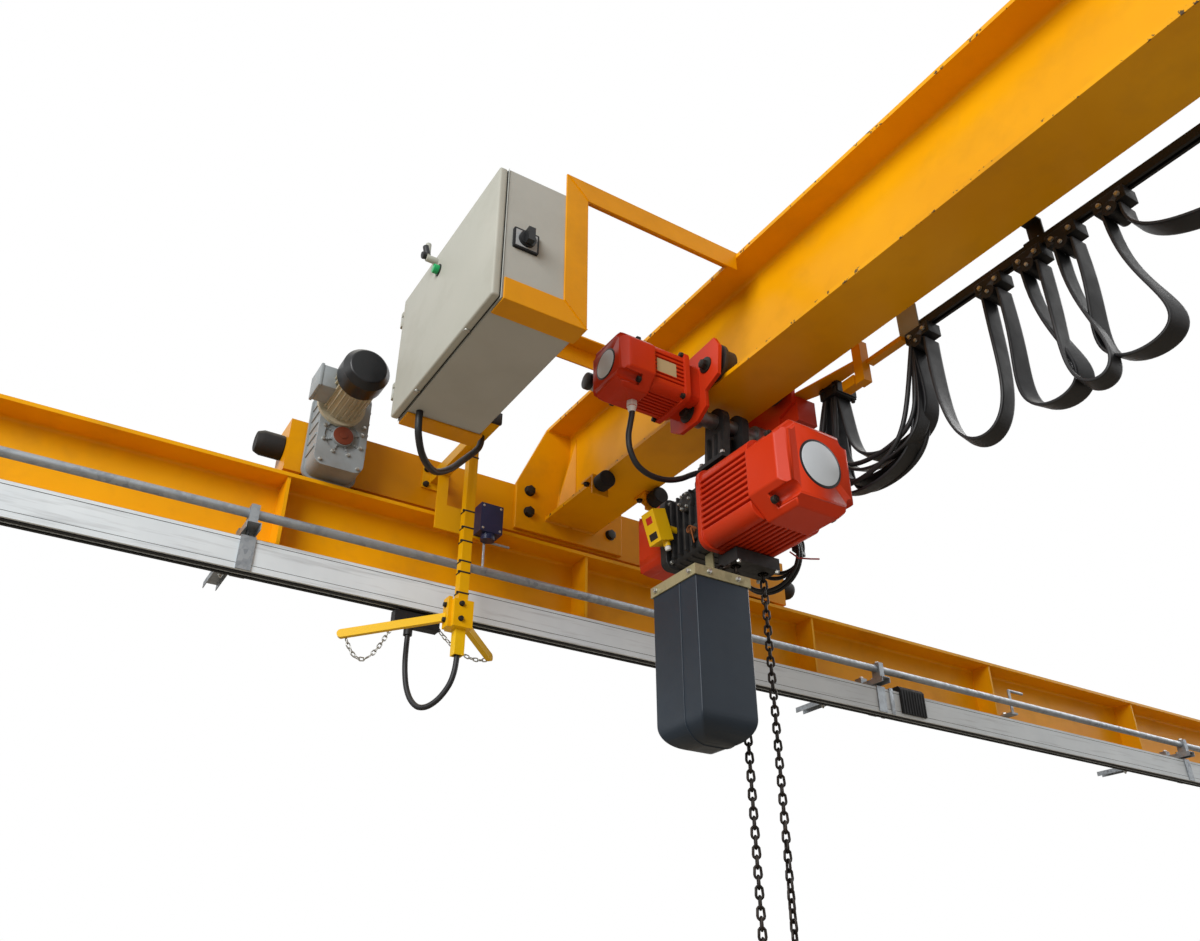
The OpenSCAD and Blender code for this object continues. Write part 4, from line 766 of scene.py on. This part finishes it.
def loop_path(gap, length, bulge, swing, lean, count=48):
    """A hanging loop between two saddles: it bellies out past them and closes in a round foot.
    Gives points as (along, across, down) from the middle of its two ends."""
    def drawn(deep):
        points = []
        for i in range(count + 1):
            u = i / count
            s = -(gap / 2) * math.cos(math.pi * u) * (1 + bulge * math.sin(math.pi * u) ** 2)
            sag = math.sin(math.pi * u) ** 0.75 if 0 < i < count else 0.0
            points.append(Vector((s + lean * sag * sag, swing * sag, -deep * sag)))
        return points
    low, high = 0.0, length / 2
    for _ in range(30):
        deep = (low + high) / 2
        points = drawn(deep)
        if sum((b - a).length for a, b in zip(points, points[1:])) < length:
            low = deep
        else:
            high = deep
    return points


cable_ring = flat_ring(0.056, 0.008, 7)
loop_length = 0.8
for i in range(9):
    x0, x1 = hang_x[i] + saddle_half, hang_x[i + 1] - saddle_half
    gap = x1 - x0
    bulge = 3.4 if gap < 0.1 else (0.35 if gap < 0.3 else 0.0)
    way = 1 if i % 2 else -1
    lean = 0.036 if gap < 0.1 else (0.016 if gap < 0.3 else 0.0)
    middle = Vector(((x0 + x1) / 2, loop_y, saddle_z))
    path = [middle + p for p in loop_path(gap, loop_length, bulge, 0.012 * way, lean)]
    turn = [math.radians(12) * way * math.sin(math.tau * k / 48) * math.sin(math.pi * k / 48) for k in range(49)]
    strand = bmesh.new()
    swept(strand, cable_ring, stations(path, (0, 1, 0), turn))
    piece = fit("cable_loop_%d" % (i + 1), strand, pvc_sheath, None, 50)
    if i == 0:
        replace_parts(piece, "festoon_cable")
    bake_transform(piece)


# Cable bundle. Four flat cables and three round ones leave the grip on the towing arm side by
# side, hang in deep loops of unlike lengths and rise to the first cable trolley.
def hang(ends, foot, spread, count=40):
    """A slack cable from one end to the other through its foot, bellied out by spread."""
    a, b = Vector(ends[0]), Vector(ends[1])
    points = []
    for i in range(count + 1):
        u = i / count
        mid = 0.5 - 0.5 * math.cos(math.pi * u)
        base = a.lerp(b, mid)
        sag = math.sin(math.pi * u) ** 0.42 if 0 < i < count else 0.0
        low = Vector(foot) - (a + b) / 2
        belly = spread * math.cos(math.pi * u) * math.sin(math.pi * u) ** 2
        base += Vector((low.x * sag - belly, low.y * sag, low.z * sag))
        points.append(base)
    return points


bundle, bundle_round = bmesh.new(), bmesh.new()
for k, (x_start, foot_x, foot_z, dy, lean) in enumerate((
    (1.148, 1.250, 0.022, 0.000, 12), (1.160, 1.276, 0.044, 0.004, -10),
    (1.172, 1.305, 0.060, -0.004, 16), (1.184, 1.330, 0.095, 0.006, -14),
)):
    ends = ((x_start, 0.224 + dy, 0.333), (1.459, 0.230, 0.334 - 0.006 * k))
    path = hang(ends, (foot_x, 0.230 + dy * 3, foot_z), 0.045 - 0.008 * k)
    turn = [math.radians(lean) * math.sin(math.pi * i / 40) ** 2 for i in range(41)]
    swept(bundle, flat_ring(0.050, 0.0085, 6), stations(path, (0, 1, 0), turn))
for x_start, foot_x, foot_z, y in (
    (1.152, 1.225, 0.040, 0.196), (1.166, 1.275, 0.030, 0.262), (1.180, 1.290, 0.085, 0.204),
):
    path = hang(((x_start, y, 0.334), (1.459, 0.230 + (y - 0.230) * 0.7, 0.336)), (foot_x, y, foot_z), 0.040)
    wire(bundle_round, path, 0.0065, 10, (0, 1, 0))
bundle_piece = fit("bundle_flat_cables", bundle, pvc_sheath, "trolley", 50)
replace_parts(bundle_piece, "cable_bundle")
fit("bundle_round_cables", bundle_round, pvc_sheath, "trolley", 60)
straps = bmesh.new()
for x in (1.152, 1.198):
    block(straps, (x - 0.008, 0.183, 0.3275), (x + 0.008, 0.261, 0.3655), 0.002)
    hex_bolt(straps, (x, 0.183, 0.350), (0, -1, 0), 0.010, 0.005)
    hex_bolt(straps, (x, 0.254, 0.3275), (0, 0, -1), 0.010, 0.005)
fit("bundle_straps", straps, carrier_black, "trolley")


# Spare cable. The surplus of the pendant line is wound into a ring, lashed with black tape and
# left on the hoist's foot.
coil = bmesh.new()
upright = Matrix.Rotation(math.radians(90), 4, "X")
coil_at = Matrix.Translation((0.900, 0.163, -0.071)) @ Matrix.Rotation(math.radians(20), 4, "Z") @ upright
for radius, along, shift, rise in (
    (0.094, 0, 0, 0), (0.092, 0.013, 0.001, 0.001), (0.070, -0.014, 0.020, 0.019), (0.062, -0.028, 0.028, 0.030),
):
    start = coil_at @ Matrix.Translation((radius + shift, rise, along)) @ upright
    made = bmesh.ops.create_circle(coil, segments=10, radius=0.0055, matrix=start)["verts"]
    ring_edges = list(dict.fromkeys(e for v in made for e in v.link_edges))
    bmesh.ops.spin(coil, geom=ring_edges + made, cent=coil_at @ Vector((shift, rise, 0)),
                   axis=coil_at.to_3x3() @ Vector((0, 0, 1)), angle=math.tau, steps=48, use_merge=True)
bmesh.ops.recalc_face_normals(coil, faces=coil.faces)
block(coil, (0.078, 0.000, -0.036), (0.092, 0.014, 0.020), 0.002, 2, coil_at)
lead = [(0.900, 0.163, 0.023), (0.900, 0.145, 0.0245), (0.900, 0.120, 0.0235), (0.900, 0.090, 0.023)]
wire(coil, lead, 0.0055, 10, (1, 0, 0))
fit("spare_cable_coil", coil, pvc_sheath, "trolley", 60)
# The end of one red core that stands out under the motor.
red_core = moulded("extruded_pvc_core_red", "#B8281C", "#A02016", 0.4, dusty=0.1)
core = bmesh.new()
tip = [(1.018, 0.128, -0.100), (1.045, 0.130, -0.128), (1.085, 0.132, -0.146), (1.118, 0.130, -0.160)]
wire(core, tip, 0.0022, 8, (0, 1, 0))
fit("red_core_end", core, red_core, "trolley", 60)


# Trolley. Two flame-cut side plates with a flanged wheel at each corner and a turned cross shaft
# that carries the hoist, a towing bracket for the cable, and a finned gearmotor, painted red.
hoist_red = enamel("sprayed_enamel_red", "#CE3A18", "#BD3013", 0.15, 0.34, 0.003, "#7A4A3A", 0.70)
turned_steel = zinc("turned_steel_oiled", "#8E9092", "#5F5F5D", 0.35, 0.01, 0.9)
cast_iron = zinc("cast_iron_oiled", "#232324", "#3A3836", 0.5, 0.015, 0.35)
glove_white = moulded("moulded_polyamide_white", "#E6E7E6", "#DADBDA", 0.35, dusty=0.1)
label_pale = moulded("anodised_disc_silver", "#D3DBE2", "#C6CFD7", 0.32, dusty=0.05)
softened("side_plates", 0.0018, hoist_red, "trolley")
softened("trolley_motor", 0.002, hoist_red, "trolley")
softened("motor_caps", 0.005, hoist_red, "trolley", least=0.012)
dress(turned_steel, "cross_shaft")
dress(forged, *("trolley_wheel_%d" % i for i in range(1, 5)))
softened("tow_arm", 0.0015, crane_yellow, "trolley")
trolley_x = 0.950
motor_x, motor_axis_z, hoist_z = 0.946, 0.351, -0.004
trolley_bolts = bmesh.new()
for side in (-1, 1):
    for x in (-0.092, 0.092):
        disc(trolley_bolts, (trolley_x + x, side * 0.138, 0.3925), (0, side, 0), 0.024, 0.004, 0.001, 28)
        hex_bolt(trolley_bolts, (trolley_x + x, side * 0.142, 0.3925), (0, side, 0), 0.024, 0.012)
    disc(trolley_bolts, (trolley_x, side * 0.138, 0.286), (0, side, 0), 0.030, 0.004, 0.001, 28)
    hex_bolt(trolley_bolts, (trolley_x, side * 0.142, 0.286), (0, side, 0), 0.030, 0.013)


def corners(reach):
    return [(a, b) for a in (reach, -reach) for b in (reach, -reach)]


for x, z in corners(0.0685):
    hex_bolt(trolley_bolts, (motor_x + x, -0.198, motor_axis_z + z), (0, -1, 0), 0.013, 0.007)
for x, y in ((1.052, 0.150), (1.078, 0.162), (1.290, 0.194), (1.306, 0.194)):
    hex_bolt(trolley_bolts, (x, y, 0.372), (0, 0, 1), 0.013, 0.006)
fit("trolley_bolts", trolley_bolts, black_oxide, "trolley")
screws = bmesh.new()
for x, z in corners(0.0656):
    disc(screws, (motor_x + x, -0.3385, motor_axis_z + z), (0, -1, 0), 0.0085, 0.010, 0.0015, 24)
    disc(screws, (motor_x + x, -0.3485, motor_axis_z + z), (0, -1, 0), 0.0045, 0.0015, 0.0, 6)
for y, z in corners(0.0926):
    disc(screws, (1.2095, y, hoist_z + z), (1, 0, 0), 0.0105, 0.012, 0.0015, 24)
    disc(screws, (1.2215, y, hoist_z + z), (1, 0, 0), 0.0055, 0.0015, 0.0, 6)
for y, z in corners(0.1045 * 0.93):
    hex_bolt(screws, (0.958, y, hoist_z + z), (1, 0, 0), 0.013, 0.007)
fit("motor_screws", screws, black_oxide, "trolley")
# A plain disc closes the middle of each motor's cap, inside a dark ring.
rings, discs = bmesh.new(), bmesh.new()
disc(rings, (1.2865, 0, hoist_z), (1, 0, 0), 0.067, 0.002, 0.0006, 64)
disc(discs, (1.2880, 0, hoist_z), (1, 0, 0), 0.0605, 0.0014, 0.0005, 64)
disc(rings, (motor_x, -0.4035, motor_axis_z), (0, -1, 0), 0.045, 0.002, 0.0006, 48)
disc(discs, (motor_x, -0.4050, motor_axis_z), (0, -1, 0), 0.0400, 0.0014, 0.0005, 48)
fit("cap_rings", rings, knob_black, "trolley")
fit("cap_discs", discs, label_pale, "trolley")
# A bare plate on the trolley motor's side.
plate_bare = enamel("aluminium_plate_bare", "#BDB08A", "#ADA07C", 0.2, 0.4, 0.001, "#8C8C86", 0.8)
plates = bmesh.new()
block(plates, (1.0185, -0.288, 0.330), (1.0202, -0.224, 0.374), 0.0004, 1)
fit("bare_plate", plates, plate_bare, "trolley")
glands = bmesh.new()
disc(glands, (0.940, -0.318, 0.2485), (0, 0, 1), 0.0155, 0.018, 0.002, 6)
disc(glands, (0.940, -0.318, 0.2462), (0, 0, -1), 0.0125, 0.016, 0.004, 28, 0.0098)
disc(glands, (1.056, 0.170, 0.279), (0, 0, -1), 0.0135, 0.012, 0.0015, 6)
disc(glands, (1.056, 0.170, 0.267), (0, 0, -1), 0.0115, 0.012, 0.003, 28, 0.0085)
fit("cable_glands", glands, glove_white, "trolley")
# Lid and screws of the terminal box on the far plate, and the cable that leaves it.
term = bmesh.new()
block(term, (1.0145, 0.2035, 0.2785), (1.0975, 0.2075, 0.3595), 0.0015)
for x in (1.023, 1.089):
    for z in (0.287, 0.351):
        disc(term, (x, 0.2070, z), (0, 1, 0), 0.0042, 0.0025, 0.0008, 16)
fit("terminal_box_lid", term, hoist_red, "trolley")
tails = bmesh.new()
lid_tail = [
    (1.056, 0.170, 0.2575), (1.057, 0.171, 0.235), (1.063, 0.176, 0.208), (1.080, 0.184, 0.190),
    (1.102, 0.190, 0.196), (1.116, 0.193, 0.225), (1.126, 0.194, 0.262), (1.136, 0.196, 0.300), (1.146, 0.198, 0.334)]
case_tail = [
    (0.914, 0.046, 0.128), (0.914, 0.075, 0.127), (0.918, 0.104, 0.112), (0.926, 0.124, 0.088),
    (0.940, 0.139, 0.068), (0.962, 0.152, 0.062), (0.990, 0.160, 0.080), (1.010, 0.166, 0.120),
    (1.026, 0.170, 0.180), (1.034, 0.171, 0.240), (1.036, 0.171, 0.2785)]
wire(tails, lid_tail, 0.0062, 12, (0, 1, 0))
wire(tails, case_tail, 0.0058, 12, (0, 1, 0))
fit("terminal_cables", tails, pvc_sheath, "trolley", 60)


# Hoist. Cast suspension eye and gear case in bare oiled iron, pressed and finned red housings, a
# geared limit box with its knob, and the load block of two red half shells over a forged hook.
softened("hoist_motor", 0.0022, hoist_red, "trolley")
softened("gear_cover", 0.006, hoist_red, "trolley", least=0.012)
softened("hoist_body", 0.004, cast_iron, "trolley")
softened("suspension_block", 0.003, cast_iron, "trolley")
softened("chain_guide", 0.003, cast_iron, "trolley")
limit_yellow = moulded("moulded_polycarbonate_yellow", "#EDBE0A", "#DEAE08", 0.34, dusty=0.2)
softened("limit_box", 0.004, limit_yellow, "trolley")
body_webs = bmesh.new()
for x in (0.806, 0.834, 0.862, 0.890):
    for side in (-1, 1):
        block(body_webs, (x - 0.0035, side * 0.087, hoist_z - 0.086),
              (x + 0.0035, side * 0.102, hoist_z + 0.086), 0.0015)
    block(body_webs, (x - 0.0035, -0.082, -0.106), (x + 0.0035, 0.082, -0.1035), 0.001)
disc(body_webs, (0.905, -0.087, -0.050), (0, -1, 0), 0.022, 0.012, 0.002, 28)
disc(body_webs, (0.872, -0.087, 0.052), (0, -1, 0), 0.030, 0.016, 0.003, 32)
fit("gear_case_webs", body_webs, cast_iron, "trolley")
case_bolts = bmesh.new()
for y in (-0.090, -0.045, 0.045, 0.090):
    for z in (-0.090, 0.090):
        hex_bolt(case_bolts, (0.785, y, hoist_z + z), (1, 0, 0), 0.010, 0.005)
for i in range(6):
    a = math.tau * i / 6
    hex_bolt(case_bolts, (0.872 + 0.022 * math.cos(a), -0.103, 0.052 + 0.022 * math.sin(a)), (0, -1, 0), 0.007, 0.004)
for x, y in ((0.891, -0.051), (0.891, 0.051), (0.983, -0.051), (0.983, 0.051)):
    hex_bolt(case_bolts, (x, y, 0.166), (0, 0, 1), 0.013, 0.008)
for x in (0.925, 1.000):
    for y in (-0.036, 0.092):
        hex_bolt(case_bolts, (x, y, -0.157), (0, 0, -1), 0.010, 0.005)
fit("gear_case_bolts", case_bolts, plated, "trolley")
# The return spring of the slack-chain lever, rusty, on the case's near side.
rust = enamel("spring_steel_rusty", "#6A3A20", "#8A4F2A", 0.5, 0.7, 0.002, "#3A2A20", 0.6)
spring = bmesh.new()
coils = []
for i in range(49):
    a = math.tau * i / 12
    coils.append((0.905 + 0.010 * math.cos(a), -0.101 - 0.0016 * a / math.tau * 3, -0.050 + 0.010 * math.sin(a)))
wire(spring, coils, 0.0016, 6, (0, 1, 0.1))
wire(spring, [(0.915, -0.120, -0.050), (0.921, -0.121, -0.072), (0.928, -0.121, -0.100)], 0.0018, 6, (0, 1, 0))
fit("lever_spring", spring, rust, "trolley", 60)
# Face of the limit box: a dark window, a bare plate in red and the blue-white knob underneath.
tilt = Matrix.Translation((0.797, -0.143, -0.006)) @ Matrix.Rotation(math.radians(17), 4, "X")
window, patch, knob = bmesh.new(), bmesh.new(), bmesh.new()
block(window, (-0.017, -0.0228, -0.036), (0.017, -0.0216, -0.016), 0.0005, 1, tilt)
block(patch, (-0.013, -0.0228, 0.010), (0.013, -0.0216, 0.030), 0.0005, 1, tilt)
disc(knob, tilt @ Vector((0.012, 0.006, -0.0595)), tilt.to_3x3() @ Vector((0, 0, -1)), 0.0085, 0.012, 0.002, 20)
fit("limit_box_window", window, knob_black, "trolley")
red_face = moulded("moulded_abs_red", "#C2281C", "#AE2218", 0.35, dusty=0.1)
fit("limit_box_patch", patch, red_face, "trolley")
fit("limit_box_knob", knob, glove_white, "trolley")
# A condenser can with a black end, clipped on the far side of the trolley motor's cap.
can, can_end = bmesh.new(), bmesh.new()
disc(can, (0.835, -0.300, 0.366), (0, -1, 0), 0.022, 0.086, 0.003, 36)
disc(can_end, (0.835, -0.385, 0.366), (0, -1, 0), 0.0245, 0.016, 0.003, 36)
block(can_end, (0.850, -0.352, 0.358), (0.862, -0.332, 0.374), 0.001)
fit("condenser_can", can, plate_grey, "trolley")
fit("condenser_end", can_end, knob_black, "trolley")


# Chain container and chain. A moulded container with a rounded bottom in a pressed rim, welded
# alloy links, and a block of two pressed shells over a drop-forged hook with a spring latch.
chain_steel = zinc("alloy_chain_oiled", "#201C19", "#3A3029", 0.36, 0.02, 0.75)
container_slate = moulded("moulded_polypropylene_slate", "#1C2834", "#19232D", 0.34, dusty=0.1, gloss=0.35)
rim_olive = zinc("pressed_steel_passivated", "#A39B78", "#7F795C", 0.45, 0.012, 0.5)
softened("chain_container", 0.004, container_slate, "trolley", least=0.0001, angle=20,
         where=lambda m: m.z < -0.245)
softened("container_rim", 0.001, rim_olive, "trolley")
seam = bmesh.new()
seam_x, can_y, half_y, top_z, foot_z, corner = 0.985, -0.136, 0.0817, -0.260, -0.6463, 0.0587
seam_path = [(seam_x, can_y - half_y, top_z), (seam_x, can_y - half_y, foot_z + corner + 0.02)]
for side, turns in ((-1, range(9)), (1, range(8, -1, -1))):
    for i in turns:
        a = math.radians(90 * i / 8)
        y = can_y + side * (half_y - corner * (1 - math.cos(a)))
        seam_path.append((seam_x, y, foot_z + corner * (1 - math.sin(a))))
seam_path.append((seam_x, can_y + half_y, top_z))
wire(seam, seam_path, 0.0018, 8, (1, 0, 0))
fit("container_seam", seam, container_slate, "trolley", 60)
rim_bolts = bmesh.new()
for x in (0.892, 1.032):
    hex_bolt(rim_bolts, (x, -0.2215, -0.2465), (0, -1, 0), 0.010, 0.005)
for z in (-0.140, -0.215):
    hex_bolt(rim_bolts, (0.903, -0.0505, z), (0, 1, 0), 0.010, 0.005)
for y in (-0.180, -0.092):
    hex_bolt(rim_bolts, (1.055, y, -0.2465), (1, 0, 0), 0.010, 0.005)
fit("rim_bolts", rim_bolts, plated, "trolley")
# One link: the radius of its bend, half its straight, and the radius of its wire.
link_form = (0.0078, 0.0056, 0.0033)
slack = bmesh.new()
slack_path = (
    (0.965, -0.030, -0.146), (0.966, -0.048, -0.168), (0.966, -0.072, -0.180), (0.966, -0.098, -0.196),
    (0.966, -0.112, -0.225), (0.966, -0.118, -0.262), (0.966, -0.122, -0.330), (0.966, -0.124, -0.420))
hung_chain(slack, [Vector(p) for p in slack_path], *link_form)
fit("slack_chain", slack, chain_steel, "trolley", 60)

# The two falls of the load chain are built in groups of links, each group a share of the way
# between the trolley and the block. The slack chain has worked a slow twist into one fall.
fall_z0, link_pitch, link_count = -0.146, 0.021, 66
fall_x, hook_y = 0.965, 0.028
half_link = link_form[0] + link_form[1]
z_top, z_foot = fall_z0 + half_link, fall_z0 - link_pitch * (link_count - 1) - half_link


def rise_of(w):
    """Where a smooth ramp from 0 to 1 reaches the share w."""
    return 0.5 - math.sin(math.asin(1 - 2 * w) / 3)


marks = (0.0, 0.03, 0.1, 0.3, 0.7, 0.9, 0.97, 1.0)
for k, (low, high) in enumerate(zip(marks, marks[1:])):
    links = bmesh.new()
    for i in range(link_count):
        z = fall_z0 - link_pitch * i
        t = (z_top - z) / (z_top - z_foot)
        if low <= t < high:
            for y in (-0.018, 0.074):
                lay = min(max((-z - 0.78) / 0.25, 0.0), 1.0) if y > 0 else 0.0
                turn = Matrix.Rotation(math.radians(58 + 45 * lay + 90 * (i % 2)), 4, "Z")
                link(links, Matrix.Translation((fall_x, y, z)) @ turn, *link_form)
    if not links.verts:
        links.free()
        continue
    group = fit("load_chain_group_%d" % k, links, chain_steel, None, 60)
    if k == 0:
        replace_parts(group, "load_chain")
    s0, s1 = rise_of(low), rise_of(high)
    reach = (high - low) / (s1 - s0)
    start = low - s0 * reach
    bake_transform(group)

# The load block: two pressed shells drawn together by six screws, and the hook under its nut.
softened("hook_block", 0.007, hoist_red, "hook", least=0.008)
block_z = -1.566
softened("load_hook", 0.001, chain_steel, "hook", angle=70)
hook_trim = bmesh.new()
for side in (-1, 1):
    for y, z in ((-0.032, 0.022), (0.032, 0.022), (0.0, -0.040)):
        disc(hook_trim, (fall_x + side * 0.032, hook_y + y, block_z + z), (side, 0, 0), 0.0075, 0.003, 0.001, 24)
        disc(hook_trim, (fall_x + side * 0.035, hook_y + y, block_z + z), (side, 0, 0), 0.004, 0.0012, 0.0, 6)
fit("block_screws", hook_trim, black_oxide, "hook")
nut = bmesh.new()
disc(nut, (fall_x, hook_y, -1.652), (0, 0, 1), 0.021, 0.014, 0.002, 6)
disc(nut, (fall_x, hook_y, -1.6385), (0, 0, 1), 0.024, 0.003, 0.0008, 32)
fit("hook_nut", nut, plated, "hook")
latch = bmesh.new()
latch_turn = Matrix.Translation((fall_x, 0.034, -1.695)) @ Matrix.Rotation(math.radians(28), 4, "X")
block(latch, (-0.010, -0.002, -0.062), (0.010, 0.001, 0.0), 0.001, 2, latch_turn)
for side in (-1, 1):
    block(latch, (side * 0.0135, -0.008, -0.030), (side * 0.0155, 0.012, 0.006), 0.001, 2, latch_turn)
disc(latch, (0.948, 0.034, -1.694), (1, 0, 0), 0.004, 0.034, 0.0008, 16)
fit("hook_latch", latch, plated, "hook")


# Finally the scene is brought up to date.
bpy.context.view_layer.update()
